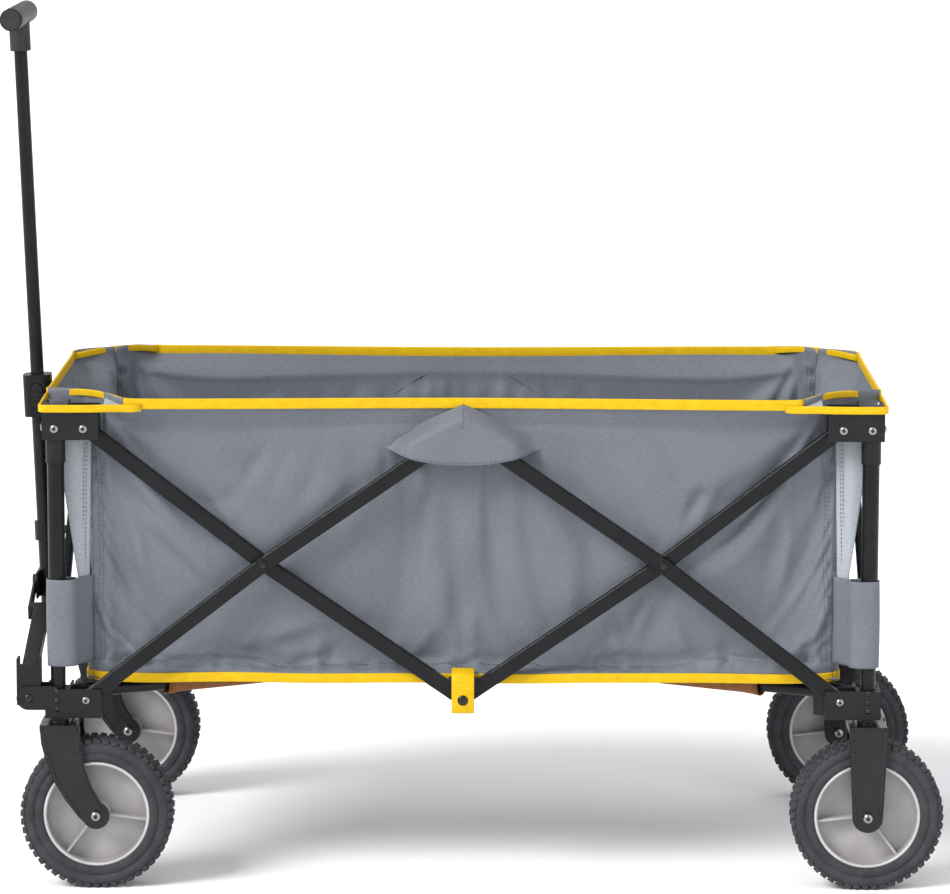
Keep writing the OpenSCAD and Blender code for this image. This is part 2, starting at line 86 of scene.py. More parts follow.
def add_node(tree: bpy.types.NodeTree, kind: str, settings: dict | None = None,
             **links: object) -> bpy.types.Node:
    """Add one node with its settings, and its inputs by name or by number.

    Args:
        tree: the node tree it goes in.
        kind: the node's type.
        settings: attributes to set on the node itself.
        **links: input name, with _ for a space, or i0, i1 for a number, to a socket or a value.

    Returns:
        The new node.
    """
    made = tree.nodes.new(kind)
    for key, value in (settings or {}).items():
        setattr(made, key, value)
    for key, value in links.items():
        slot = int(key[1:]) if key[0] == "i" and key[1:].isdigit() else key.replace("_", " ")
        socket = made.inputs[slot]
        if isinstance(value, bpy.types.NodeSocket):
            tree.links.new(value, socket)
        else:
            socket.default_value = value
    return made


@dataclass(frozen=True)
class Finish:
    """A material's name and its even values. A finish that has a pattern adds it in paint()."""

    name: str
    colour: str
    roughness: float
    metallic: float = 0.0
    ior: float = 1.5
    coat: float = 0.0
    sheen: float = 0.0
    edge_mm: float = 0.0

    def build(self) -> bpy.types.Material:
        """Make the material once, and return the same one afterwards."""
        known = bpy.data.materials.get(self.name)
        if known:
            return known
        made = bpy.data.materials.new(self.name)
        made.use_nodes = True
        tree = made.node_tree
        shader = tree.nodes["Principled BSDF"]
        shader.inputs["Base Color"].default_value = linear(self.colour)
        shader.inputs["Roughness"].default_value = self.roughness
        shader.inputs["Metallic"].default_value = self.metallic
        shader.inputs["IOR"].default_value = self.ior
        shader.inputs["Coat Weight"].default_value = self.coat
        shader.inputs["Coat Roughness"].default_value = 0.12
        shader.inputs["Sheen Weight"].default_value = self.sheen
        shader.inputs["Sheen Roughness"].default_value = 0.5
        self.paint(tree, shader)
        return made

    def paint(self, tree: bpy.types.NodeTree, shader: bpy.types.Node) -> None:
        """Add the pattern: none for an even finish."""

    def place(self, tree: bpy.types.NodeTree, uv: bool = False) -> bpy.types.NodeSocket:
        """Return the socket a pattern is laid on, in millimetres."""
        coords = add_node(tree, "ShaderNodeTexCoord")
        source = coords.outputs["UV" if uv else "Object"]
        return add_node(tree, "ShaderNodeMapping", Vector=source, Scale=(1000, 1000, 1000)).outputs["Vector"]

    def mottle(self, tree: bpy.types.NodeTree, place: bpy.types.NodeSocket, size_mm: float,
               detail: float = 2.0) -> bpy.types.NodeSocket:
        """Return a soft noise whose features are about size_mm across."""
        return add_node(tree, "ShaderNodeTexNoise", Vector=place, Scale=1 / size_mm,
                        Detail=detail).outputs["Fac"]

    def spread(self, tree: bpy.types.NodeTree, factor: bpy.types.NodeSocket, low: float,
               high: float) -> bpy.types.NodeSocket:
        """Return the factor mapped from its middle half to low and high."""
        made = add_node(tree, "ShaderNodeMapRange", None, i0=factor, i1=0.3, i2=0.7, i3=low, i4=high)
        return made.outputs[0]

    def tint(self, tree: bpy.types.NodeTree, factor: bpy.types.NodeSocket, dark: str,
             light: str) -> bpy.types.NodeSocket:
        """Return a colour that runs from dark to light with the factor."""
        mix = add_node(tree, "ShaderNodeMix", {"data_type": "RGBA"}, i0=factor, i6=linear(dark),
                       i7=linear(light))
        return mix.outputs[2]

    def relief(self, tree: bpy.types.NodeTree, shader: bpy.types.Node, height: bpy.types.NodeSocket,
               depth_mm: float) -> None:
        """Set the shader's normal from a height, on edges eased by edge_mm."""
        bump = add_node(tree, "ShaderNodeBump", None, Height=height, Distance=depth_mm * MM, Strength=1.0)
        if self.edge_mm:
            eased = add_node(tree, "ShaderNodeBevel", {"samples": 4}, Radius=self.edge_mm * MM)
            tree.links.new(eased.outputs["Normal"], bump.inputs["Normal"])
        tree.links.new(bump.outputs["Normal"], shader.inputs["Normal"])


@dataclass(frozen=True)
class PowderCoat(Finish):
    """Black polyester powder coat on steel: fine orange peel, soft broad highlights, paler rubbed patches."""

    light: str = "#2b2c2f"
    peel_mm: float = 1.4

    def paint(self, tree: bpy.types.NodeTree, shader: bpy.types.Node) -> None:
        """Orange peel in the height, and slow changes of colour and gloss."""
        place = self.place(tree)
        slow = self.mottle(tree, place, 28.0, 3.0)
        tree.links.new(self.tint(tree, self.spread(tree, slow, 0.0, 1.0), self.colour, self.light),
                       shader.inputs["Base Color"])
        rough = self.spread(tree, self.mottle(tree, place, 9.0), self.roughness - 0.05, self.roughness + 0.07)
        tree.links.new(rough, shader.inputs["Roughness"])
        self.relief(tree, shader, self.mottle(tree, place, self.peel_mm), 0.012)


@dataclass(frozen=True)
class MouldedPlastic(Finish):
    """Injection-moulded nylon or polypropylene: fine spark-eroded grain, even colour, faint flow marks."""

    light: str = "#333438"
    grain_mm: float = 0.7
    grain_depth: float = 0.015

    def paint(self, tree: bpy.types.NodeTree, shader: bpy.types.Node) -> None:
        """Fine grain, and flow marks that change the colour a little."""
        place = self.place(tree)
        flow = self.spread(tree, self.mottle(tree, place, 40.0, 4.0), 0.0, 1.0)
        tree.links.new(self.tint(tree, flow, self.colour, self.light), shader.inputs["Base Color"])
        rough = self.spread(tree, self.mottle(tree, place, 12.0), self.roughness - 0.05,
                            self.roughness + 0.06)
        tree.links.new(rough, shader.inputs["Roughness"])
        self.relief(tree, shader, self.mottle(tree, place, self.grain_mm, 3.0), self.grain_depth)


@dataclass(frozen=True)
class WovenCloth(Finish):
    """Plain-woven polyester with a coated back: crossing threads, slubs, and a soft sheen on the folds."""

    light: str = "#8a95a0"
    thread_mm: float = 1.3  # real threads are 0.5 mm apart; drawn coarser so that the weave shows

    def paint(self, tree: bpy.types.NodeTree, shader: bpy.types.Node) -> None:
        """Two sets of threads on the cut cloth's own width and height, with slubs between them."""
        place = self.place(tree, uv=True)
        bands = []
        for axis in ("X", "Y"):
            wave = add_node(tree, "ShaderNodeTexWave", {"bands_direction": axis}, Vector=place,
                            Scale=math.pi / 10 / self.thread_mm, Distortion=0.6, Detail=1.0, Detail_Scale=0.4)
            bands.append(wave.outputs["Fac"])
        weave = add_node(tree, "ShaderNodeMath", {"operation": "MULTIPLY"}, i0=bands[0],
                         i1=bands[1]).outputs[0]
        slub = self.mottle(tree, add_node(tree, "ShaderNodeMapping", Vector=place,
                                          Scale=(0.3, 1, 1)).outputs[0], 1.8, 2.0)
        cloud = self.mottle(tree, place, 70.0, 3.0)
        both = add_node(tree, "ShaderNodeMath", {"operation": "MULTIPLY_ADD"}, i0=weave, i1=0.45,
                        i2=slub).outputs[0]
        whole = add_node(tree, "ShaderNodeMath", {"operation": "MULTIPLY_ADD"}, i0=cloud, i1=0.5,
                         i2=both).outputs[0]
        factor = add_node(tree, "ShaderNodeMapRange", None, i0=whole, i1=0.5, i2=1.2, i3=0.0,
                          i4=1.0).outputs[0]
        tree.links.new(self.tint(tree, factor, self.colour, self.light), shader.inputs["Base Color"])
        tree.links.new(self.spread(tree, slub, self.roughness - 0.06, self.roughness + 0.08),
                       shader.inputs["Roughness"])
        self.relief(tree, shader, both, 0.12)


@dataclass(frozen=True)
class RibbedTape(Finish):
    """Woven binding tape or webbing: fine ribs across its length, with a dull silky sheen."""

    light: str = "#ffd93a"
    rib_mm: float = 1.6

    def paint(self, tree: bpy.types.NodeTree, shader: bpy.types.Node) -> None:
        """Ribs along the tape's length on its own map, and a faint unevenness in the dye."""
        place = self.place(tree, uv=True)
        ribs = add_node(tree, "ShaderNodeTexWave", {"bands_direction": "X"}, Vector=place,
                        Scale=math.pi / 10 / self.rib_mm, Distortion=0.5, Detail=1.0).outputs["Fac"]
        dye = self.mottle(tree, place, 14.0, 3.0)
        mixed = add_node(tree, "ShaderNodeMath", {"operation": "MULTIPLY_ADD"}, i0=ribs, i1=0.4,
                         i2=dye).outputs[0]
        factor = add_node(tree, "ShaderNodeMapRange", None, i0=mixed, i1=0.35, i2=1.0, i3=0.0,
                          i4=1.0).outputs[0]
        tree.links.new(self.tint(tree, factor, self.colour, self.light), shader.inputs["Base Color"])
        self.relief(tree, shader, ribs, 0.25)


@dataclass(frozen=True)
class Rubber(Finish):
    """Filled black rubber: dull, dusty in slow patches, with a faint moulding grain."""

    light: str = "#36373a"

    def paint(self, tree: bpy.types.NodeTree, shader: bpy.types.Node) -> None:
        """Dust in slow patches over a fine grain."""
        place = self.place(tree)
        dust = self.spread(tree, self.mottle(tree, place, 18.0, 5.0), 0.0, 1.0)
        tree.links.new(self.tint(tree, dust, self.colour, self.light), shader.inputs["Base Color"])
        tree.links.new(self.spread(tree, self.mottle(tree, place, 6.0), self.roughness - 0.08,
                                   self.roughness + 0.08), shader.inputs["Roughness"])
        self.relief(tree, shader, self.mottle(tree, place, 0.9, 4.0), 0.08)


@dataclass(frozen=True)
class PlatedSteel(Finish):
    """Zinc-plated steel: bright, with fine turning marks that soften the highlights."""

    light: str = "#e4e5e7"

    def paint(self, tree: bpy.types.NodeTree, shader: bpy.types.Node) -> None:
        """Fine unevenness in gloss and colour."""
        place = self.place(tree)
        fine = self.mottle(tree, place, 1.2, 3.0)
        tree.links.new(self.tint(tree, fine, self.colour, self.light), shader.inputs["Base Color"])
        tree.links.new(self.spread(tree, fine, self.roughness - 0.06, self.roughness + 0.1),
                       shader.inputs["Roughness"])


STEEL = PowderCoat("powder_coated_steel", "#08080a", 0.34, ior=1.33, edge_mm=1.6, light="#111214")
FORK = PowderCoat("gloss_powder_coated_steel", "#09090b", 0.26, ior=1.38, coat=0.12, edge_mm=2.0,
                  light="#131416")
NYLON = MouldedPlastic("moulded_black_nylon", "#101114", 0.45, ior=1.35, edge_mm=1.2, light="#18191c")
GRIP = Rubber("soft_touch_rubber", "#202021", 0.5, ior=1.4, edge_mm=1.0, light="#2f2e2f")
TYRE = Rubber("moulded_eva_rubber", "#292a2d", 0.74, ior=1.4, light="#393a3e")
RIM = MouldedPlastic("moulded_grey_polypropylene", "#8f8c8b", 0.34, light="#a5a2a1", grain_mm=1.0,
                     grain_depth=0.01, edge_mm=0.8)
# the rim's own grey plastic made paler for the wheel's rolled lip: a painted highlight
RIM_LIP_HIGHLIGHT = MouldedPlastic("grey_polypropylene_painted_highlight", "#a9a8a8", 0.28, light="#c3c3c3", grain_mm=1.0,
                          grain_depth=0.008)
ZINC = PlatedSteel("zinc_plated_steel", "#7e7f82", 0.24, metallic=1.0, light="#a9aaad")
BLACK_ZINC = PlatedSteel("black_zinc_plated_steel", "#2e2c2c", 0.24, metallic=1.0, light="#4a4745")
# near-black plug in each screw head: painted shade standing in for the depth of its hex socket
SOCKET_SHADE = Finish("painted_shade_screw_socket", "#050505", 0.6)
SLATE = WovenCloth("woven_slate_polyester", "#575b63", 0.66, sheen=0.1, light="#6c7079")
SILVER = WovenCloth("woven_silver_grey_polyester", "#8a8f96", 0.6, sheen=0.12, light="#a5aab1")
YELLOW = RibbedTape("yellow_grosgrain_binding", "#cc9f03", 0.6, ior=1.3, light="#e0b90c")
# yellow webbing coloured dark orange-brown: painted shade for the channels on the floor's underside
SHADED_YELLOW_WEBBING = RibbedTape("yellow_webbing_painted_shade", "#6e4220", 0.6, ior=1.35, light="#8c5a2c", rib_mm=2.6)
THREAD = Finish("polyester_sewing_thread", "#525960", 0.6)


# ---------------------------------------------------------------- meshes


def new_object(name: str, verts: Iterable[Sequence[float]], faces: Iterable[Sequence[int]], finish: Finish,
               uv: Sequence[Sequence[float]] | None = None,
               edges: Iterable[Sequence[int]] = ()) -> bpy.types.Object:
    """Make a mesh object at the origin from points in metres.

    Args:
        name: the piece's name.
        verts: its points.
        faces: each face's points, outwards.
        finish: its material.
        uv: each point's place on the cut cloth or tape, in metres.
        edges: loose edges, for a line that a node tree follows.

    Returns:
        The new object.
    """
    mesh = bpy.data.meshes.new(name)
    mesh.from_pydata([tuple(v) for v in verts], list(edges), [tuple(f) for f in faces])
    mesh.polygons.foreach_set("use_smooth", [True] * len(mesh.polygons))
    if uv is not None:
        layer = mesh.uv_layers.new(name="cut")
        flat = [c for loop in mesh.loops for c in uv[loop.vertex_index]]
        layer.data.foreach_set("uv", flat)
    mesh.materials.append(finish.build())
    mesh.update()
    made = bpy.data.objects.new(name, mesh)
    bpy.context.scene.collection.objects.link(made)
    return made


def settle(piece: bpy.types.Object) -> bpy.types.Object:
    """Turn a piece's live modifiers into its plain mesh.

    Args:
        piece: the object to finish.

    Returns:
        The same object, with no modifier on it.
    """
    bpy.context.view_layer.update()
    graph = bpy.context.evaluated_depsgraph_get()
    result = bpy.data.meshes.new_from_object(piece.evaluated_get(graph), preserve_all_data_layers=True,
                                             depsgraph=graph)
    piece.modifiers.clear()
    old, piece.data = piece.data, result
    result.name = piece.name
    bpy.data.meshes.remove(old)
    return piece


def joined(name: str, parts: Sequence[bpy.types.Object]) -> bpy.types.Object:
    """Join several plain pieces in one.

    Args:
        name: the new piece's name.
        parts: the pieces, which are used up.

    Returns:
        The joined piece.
    """
    first = parts[0]
    with bpy.context.temp_override(active_object=first, object=first, selected_objects=list(parts),
                                   selected_editable_objects=list(parts)):
        bpy.ops.object.join()
    first.name = name
    first.data.name = name
    return first


def auto_smooth(piece: bpy.types.Object, degrees: float = 35.0) -> None:
    """Shade a piece smooth apart from its edges sharper than degrees."""
    mesh = piece.data
    mesh.polygons.foreach_set("use_smooth", [True] * len(mesh.polygons))
    mesh.set_sharp_from_angle(angle=math.radians(degrees))


def grid_faces(rows: int, columns: int, around: bool = False, flip: bool = False) -> list[tuple[int, ...]]:
    """Give the quads of a grid of points, row after row.

    Args:
        rows: how many rows of points.
        columns: how many points in a row.
        around: whether each row closes on itself.
        flip: whether to turn the faces over.

    Returns:
        The faces.
    """
    faces = []
    last = columns if around else columns - 1
    for r in range(rows - 1):
        for c in range(last):
            d = (c + 1) % columns
            quad = (r * columns + c, r * columns + d, (r + 1) * columns + d, (r + 1) * columns + c)
            faces.append(quad[::-1] if flip else quad)
    return faces


def cloth_sheet(name: str, points: np.ndarray, finish: Finish, thickness: float = 0.8, flip: bool = False,
                levels: int = 1, uv: np.ndarray | None = None) -> bpy.types.Object:
    """Make a cloth sheet from a grid of points, with its real thickness.

    Args:
        name: the piece's name.
        points: rows by columns by xyz, in metres.
        finish: its cloth.
        thickness: the cloth's thickness in millimetres.
        flip: whether the outer face is on the other side.
        levels: how often it is smoothed.
        uv: each point's place on the cut cloth in metres, or None to measure it along the rows and columns.

    Returns:
        The sheet, finished.
    """
    rows, columns = points.shape[:2]
    if uv is None:
        along_rows = np.cumsum(np.linalg.norm(np.diff(points, axis=1), axis=2), 1)
        down_columns = np.cumsum(np.linalg.norm(np.diff(points, axis=0), axis=2), 0)
        across = np.concatenate([np.zeros((rows, 1)), along_rows], 1)
        down = np.concatenate([np.zeros((1, columns)), down_columns], 0)
        across = across - across[:, columns // 2 : columns // 2 + 1]
        uv = np.stack([across, down], 2)
    piece = new_object(name, points.reshape(-1, 3), grid_faces(rows, columns, flip=flip), finish,
                       uv.reshape(-1, 2))
    if levels:
        smooth = piece.modifiers.new("smooth", "SUBSURF")
        smooth.levels = smooth.render_levels = levels
        smooth.boundary_smooth = "PRESERVE_CORNERS"
    solid = piece.modifiers.new("thick", "SOLIDIFY")
    solid.thickness = thickness * MM
    solid.offset = 0
    return settle(piece)


def sweep(name: str, path: np.ndarray, profile: Sequence[tuple[float, float]],
          up: np.ndarray | tuple[float, float, float],
          finish: Finish) -> bpy.types.Object:
    """Sweep a flat outline along a path, with closed ends.

    Args:
        name: the piece's name.
        path: its points in metres.
        profile: the outline, (sideways, upwards) in millimetres, anticlockwise.
        up: the upward direction, one for all or one for each point.
        finish: its material.

    Returns:
        The new piece.
    """
    path = np.asarray(path, float)
    ahead = np.roll(path, -1, 0) - np.roll(path, 1, 0)
    ahead[0], ahead[-1] = path[1] - path[0], path[-1] - path[-2]
    ahead /= np.linalg.norm(ahead, axis=1)[:, None]
    ups = np.broadcast_to(np.asarray(up, float), path.shape)
    side = np.cross(ahead, ups)
    side /= np.linalg.norm(side, axis=1)[:, None]
    high = np.cross(side, ahead)
    outline = np.asarray(profile, float) * MM
    sideways, upwards = side[:, None] * outline[None, :, :1], high[:, None] * outline[None, :, 1:]
    verts = (path[:, None] + sideways + upwards).reshape(-1, 3)
    length = np.concatenate([[0], np.cumsum(np.linalg.norm(np.diff(path, axis=0), axis=1))])
    girth = np.concatenate([[0], np.cumsum(np.linalg.norm(np.diff(outline, axis=0), axis=1))])
    uv = [(run, round_) for run in length for round_ in girth]
    faces = grid_faces(len(path), len(outline), around=True, flip=True)
    faces += [tuple(range(len(outline))), tuple(range(len(verts) - 1, len(verts) - 1 - len(outline), -1))]
    return outward(new_object(name, verts, faces, finish, uv))


def outward(piece: bpy.types.Object) -> bpy.types.Object:
    """Turn a closed mesh's faces outwards, and return the piece."""
    work = bmesh.new()
    work.from_mesh(piece.data)
    bmesh.ops.recalc_face_normals(work, faces=work.faces)
    work.to_mesh(piece.data)
    work.free()
    return piece


def lathe(name: str, outline: Sequence[tuple[float, float]], centre: Sequence[float], finish: Finish,
          segments: int = 96) -> bpy.types.Object:
    """Turn a closed outline about an axle along Y.

    Args:
        name: the piece's name.
        outline: (radius, along) in millimetres, a closed ring.
        centre: the middle, in metres.
        finish: its material.
        segments: how many steps round.

    Returns:
        The new piece.
    """
    verts = []
    for k in range(segments):
        turn = 2 * math.pi * k / segments
        for radius, along in outline:
            x, z = radius * MM * math.cos(turn), radius * MM * math.sin(turn)
            verts.append((centre[0] + x, centre[1] + along * MM, centre[2] + z))
    wide = len(outline)
    faces = grid_faces(segments, wide, around=True)
    last = (segments - 1) * wide
    faces += [(last + j, last + (j + 1) % wide, (j + 1) % wide, j) for j in range(wide)]
    return outward(new_object(name, verts, faces, finish))


def rounded_bar(width: float, height: float, corner: float = 0.45,
                steps: int = 3) -> list[tuple[float, float]]:
    """Give a rounded rectangle's outline, anticlockwise.

    Args:
        width: its width in millimetres.
        height: its height in millimetres.
        corner: the corner radius as a share of the smaller side.
        steps: points in each corner.

    Returns:
        The outline's points.
    """
    r = corner * min(width, height)
    points = []
    for quarter, (sx, sy) in enumerate(((1, 1), (-1, 1), (-1, -1), (1, -1))):
        for k in range(steps + 1):
            turn = math.pi / 2 * (quarter + k / steps)
            points.append((sx * (width / 2 - r) + r * math.cos(turn),
                           sy * (height / 2 - r) + r * math.sin(turn)))
    return points


def smoothstep(x: np.ndarray | float) -> np.ndarray | float:
    """Return x eased from 0 to 1."""
    x = np.clip(x, 0, 1)
    return x * x * (3 - 2 * x)


def noise_field(shape: tuple[int, int], cells: tuple[int, int], seed: int) -> np.ndarray:
    """Give a smooth random field from -1 to 1.

    Args:
        shape: rows and columns.
        cells: how many bumps down and across.
        seed: the draw's seed.

    Returns:
        The field.
    """
    rng = np.random.default_rng(seed)
    coarse = rng.uniform(-1, 1, (cells[0] + 3, cells[1] + 3))
    out = np.zeros(shape)
    for i, y in enumerate(np.linspace(0, cells[0], shape[0])):
        for j, x in enumerate(np.linspace(0, cells[1], shape[1])):
            a, b = int(y), int(x)
            fy, fx = smoothstep(y - a), smoothstep(x - b)
            top = coarse[a, b] * (1 - fx) + coarse[a, b + 1] * fx
            low = coarse[a + 1, b] * (1 - fx) + coarse[a + 1, b + 1] * fx
            out[i, j] = top * (1 - fy) + low * fy
    return out


# ---------------------------------------------------------------- node trees for what repeats


@dataclass
class RepeatTree:
    """A geometry node tree with named size inputs, run once on a carrier mesh."""

    name: str
    inputs: tuple[tuple[str, str, float], ...]
    wire: Callable[[bpy.types.NodeTree, bpy.types.Node], bpy.types.NodeSocket]
    tree: bpy.types.NodeTree | None = field(default=None, init=False)

    def build(self) -> bpy.types.NodeTree:
        """Make the tree once, ended by Realize Instances."""
        if self.tree:
            return self.tree
        tree = bpy.data.node_groups.new(self.name, "GeometryNodeTree")
        tree.interface.new_socket("Geometry", in_out="INPUT", socket_type="NodeSocketGeometry")
        for label, kind, value in self.inputs:
            tree.interface.new_socket(label, in_out="INPUT", socket_type=kind).default_value = value
        tree.interface.new_socket("Geometry", in_out="OUTPUT", socket_type="NodeSocketGeometry")
        entry = tree.nodes.new("NodeGroupInput")
        placed = self.wire(tree, entry)
        real = add_node(tree, "GeometryNodeRealizeInstances", None, Geometry=placed)
        add_node(tree, "NodeGroupOutput", None, Geometry=real.outputs[0])
        self.tree = tree
        return tree

    def run(self, carrier: bpy.types.Object, **sizes: float) -> bpy.types.Object:
        """Run the tree on a carrier mesh.

        Args:
            carrier: the object that holds the points or the line.
            **sizes: each named input's value, with _ for a space.

        Returns:
            The carrier, now the plain result.
        """
        tree = self.build()
        modifier = carrier.modifiers.new(self.name, "NODES")
        modifier.node_group = tree
        named = {item.name: item.identifier for item in tree.interface.items_tree if item.in_out == "INPUT"}
        for label, value in sizes.items():
            modifier[named[label.replace("_", " ")]] = value
        return settle(carrier)


def shaded(tree: bpy.types.NodeTree, part: bpy.types.NodeSocket, finish: Finish,
           smooth: bool = True) -> bpy.types.NodeSocket:
    """Give a part of a tree its material and shading.

    Args:
        tree: the tree.
        part: the part's geometry.
        finish: its finish.
        smooth: whether it is shaded smooth.

    Returns:
        The finished part.
    """
    flat = add_node(tree, "GeometryNodeSetShadeSmooth", None, Geometry=part, Shade_Smooth=smooth)
    return add_node(tree, "GeometryNodeSetMaterial", None, Geometry=flat.outputs[0],
                    Material=finish.build()).outputs[0]


def wire_heads(metal: Finish) -> Callable[[bpy.types.NodeTree, bpy.types.Node], bpy.types.NodeSocket]:
    """Give the wiring that puts a domed screw head with a socket on each point.

    Args:
        metal: the head's finish.

    Returns:
        The wiring.
    """

    def wire(tree: bpy.types.NodeTree, entry: bpy.types.Node) -> bpy.types.NodeSocket:
        """Dome and socket, aligned to each point's facing."""
        radius, height, socket = (entry.outputs[n] for n in ("Radius", "Height", "Socket"))
        dome = add_node(tree, "GeometryNodeMeshUVSphere", None, Segments=24, Rings=12, Radius=1.0)
        size = add_node(tree, "ShaderNodeCombineXYZ", None, X=radius, Y=radius, Z=height).outputs[0]
        cap = add_node(tree, "GeometryNodeTransform", None, Geometry=dome.outputs[0], Scale=size)
        # the socket is a near-black hex plug standing just proud of the dome: painted shade in place of a
        # hole
        bore = add_node(tree, "GeometryNodeMeshCylinder", None, Vertices=6, Radius=socket, Depth=height)
        lift = add_node(tree, "ShaderNodeMath", {"operation": "MULTIPLY"}, i0=height, i1=0.52)
        shift = add_node(tree, "ShaderNodeCombineXYZ", None, Z=lift.outputs[0]).outputs[0]
        hex_hole = add_node(tree, "GeometryNodeTransform", None, Geometry=bore.outputs[0], Translation=shift)
        both = add_node(tree, "GeometryNodeJoinGeometry")
        tree.links.new(shaded(tree, hex_hole.outputs[0], SOCKET_SHADE, False), both.inputs[0])
        tree.links.new(shaded(tree, cap.outputs[0], metal), both.inputs[0])
        facing = add_node(tree, "GeometryNodeInputNamedAttribute", {"data_type": "FLOAT_VECTOR"},
                          Name="facing")
        turn = add_node(tree, "FunctionNodeAlignRotationToVector", {"axis": "Z"}, Vector=facing.outputs[0])
        placed = add_node(tree, "GeometryNodeInstanceOnPoints", None, Points=entry.outputs[0],
                          Instance=both.outputs[0], Rotation=turn.outputs[0])
        return placed.outputs[0]

    return wire


def wire_stitches(tree: bpy.types.NodeTree, entry: bpy.types.Node) -> bpy.types.NodeSocket:
    """Lay a short thread at each pitch along the line."""
    line = add_node(tree, "GeometryNodeMeshToCurve", None, Mesh=entry.outputs[0])
    even = add_node(tree, "GeometryNodeResampleCurve", {"mode": "LENGTH"}, Curve=line.outputs[0],
                    Length=entry.outputs["Pitch"])
    points = add_node(tree, "GeometryNodeCurveToPoints", {"mode": "EVALUATED"}, Curve=even.outputs[0])
    bead = add_node(tree, "GeometryNodeMeshUVSphere", None, Segments=6, Rings=4, Radius=0.5)
    size = add_node(tree, "ShaderNodeCombineXYZ", None, X=entry.outputs["Width"], Y=entry.outputs["Width"],
                    Z=entry.outputs["Stitch"]).outputs[0]
    thread = add_node(tree, "GeometryNodeTransform", None, Geometry=bead.outputs[0], Scale=size)
    placed = add_node(tree, "GeometryNodeInstanceOnPoints", None, Points=points.outputs[0],
                      Instance=shaded(tree, thread.outputs[0], THREAD),
                      Rotation=points.outputs["Rotation"])
    return placed.outputs[0]


def wire_lugs(tree: bpy.types.NodeTree, entry: bpy.types.Node) -> bpy.types.NodeSocket:
    """Set one row of tread lugs round a tyre whose axle is Z."""
    ring = add_node(tree, "GeometryNodeMeshCircle", None, Vertices=entry.outputs["Count"],
                    Radius=entry.outputs["Radius"])
    lug = add_node(tree, "GeometryNodeMeshCube", None, Vertices_X=2, Vertices_Y=2, Vertices_Z=3)
    size = add_node(tree, "ShaderNodeCombineXYZ", None, X=entry.outputs["Height"], Y=entry.outputs["Length"],
                    Z=entry.outputs["Width"]).outputs[0]
    tree.links.new(size, lug.inputs["Size"])
    place = add_node(tree, "GeometryNodeInputPosition")
    outwards = add_node(tree, "FunctionNodeAlignRotationToVector", {"axis": "X"}, Vector=place.outputs[0])
    square = add_node(tree, "FunctionNodeAlignRotationToVector", {"axis": "Z", "pivot_axis": "X"},
                      Rotation=outwards.outputs[0], Vector=(0, 0, 1))
    set_down = add_node(tree, "GeometryNodeInstanceOnPoints", None, Points=ring.outputs[0],
                        Instance=shaded(tree, lug.outputs[0], TYRE, False),
                        Rotation=square.outputs[0])
    lean = add_node(tree, "ShaderNodeCombineXYZ", None, X=entry.outputs["Skew"],
                    Y=entry.outputs["Drop"]).outputs[0]
    skewed = add_node(tree, "GeometryNodeRotateInstances", None, Instances=set_down.outputs[0], Rotation=lean)
    shift = add_node(tree, "ShaderNodeCombineXYZ", None, Z=entry.outputs["Offset"]).outputs[0]
    turn = add_node(tree, "ShaderNodeCombineXYZ", None, Z=entry.outputs["Phase"]).outputs[0]
    row = add_node(tree, "GeometryNodeTransform", None, Geometry=skewed.outputs[0], Translation=shift,
                   Rotation=turn)
    return row.outputs[0]


FLOAT = "NodeSocketFloat"
HEAD_SIZES = (("Radius", FLOAT, 0.005), ("Height", FLOAT, 0.003), ("Socket", FLOAT, 0.002))
HEADS = {
    "zinc": RepeatTree("zinc_heads", HEAD_SIZES, wire_heads(ZINC)),
    "black": RepeatTree("black_heads", HEAD_SIZES, wire_heads(BLACK_ZINC)),
}
STITCHES = RepeatTree("stitches", (("Pitch", FLOAT, 0.005), ("Stitch", FLOAT, 0.0034),
                                   ("Width", FLOAT, 0.0009)), wire_stitches)
LUG_SIZES = (
    ("Count", "NodeSocketInt", 40), ("Radius", FLOAT, 0.087), ("Height", FLOAT, 0.004),
    ("Length", FLOAT, 0.008), ("Width", FLOAT, 0.018), ("Skew", FLOAT, 0.4), ("Drop", FLOAT, 0.0),
    ("Offset", FLOAT, 0.01), ("Phase", FLOAT, 0.0),
)
LUGS = RepeatTree("tread_lugs", LUG_SIZES, wire_lugs)


def screw_heads(name: str, places: Sequence[tuple[Vector, Sequence[float]]], body: str, kind: str,
                radius: float, height: float) -> bpy.types.Object:
    """Put screw or rivet heads on a body.

    Args:
        name: the piece's name.
        places: each head's point in metres and the way it faces.
        body: the body they ride on.
        kind: the key in HEADS.
        radius: a head's radius in millimetres.
        height: its height in millimetres.

    Returns:
        The heads, as one piece.
    """
    carrier = new_object(name, [p for p, _ in places], [], ZINC)
    facing = carrier.data.attributes.new("facing", "FLOAT_VECTOR", "POINT")
    facing.data.foreach_set("vector", [c for _, f in places for c in f])
    HEADS[kind].run(carrier, Radius=radius * MM, Height=height * MM, Socket=radius * 0.42 * MM)
    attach(carrier, body)
    return carrier


def stitch_line(name: str, lines: Sequence[np.ndarray]) -> bpy.types.Object:
    """Sew thread along lines of points.

    Args:
        name: the piece's name.
        lines: each line's points in metres.

    Returns:
        The stitches, as one piece.
    """
    verts, edges = [], []
    for line in lines:
        start = len(verts)
        verts += [tuple(p) for p in line]
        edges += [(start + k, start + k + 1) for k in range(len(line) - 1)]
    carrier = new_object(name, verts, [], THREAD, edges=edges)
    return STITCHES.run(carrier)


# ---------------------------------------------------------------- the wagon's corners


class Side(Enum):
    """The wagon's long sides."""

    LEFT = "left"
    RIGHT = "right"


class End(Enum):
    """The wagon's ends."""

    FRONT = "front"
    REAR = "rear"


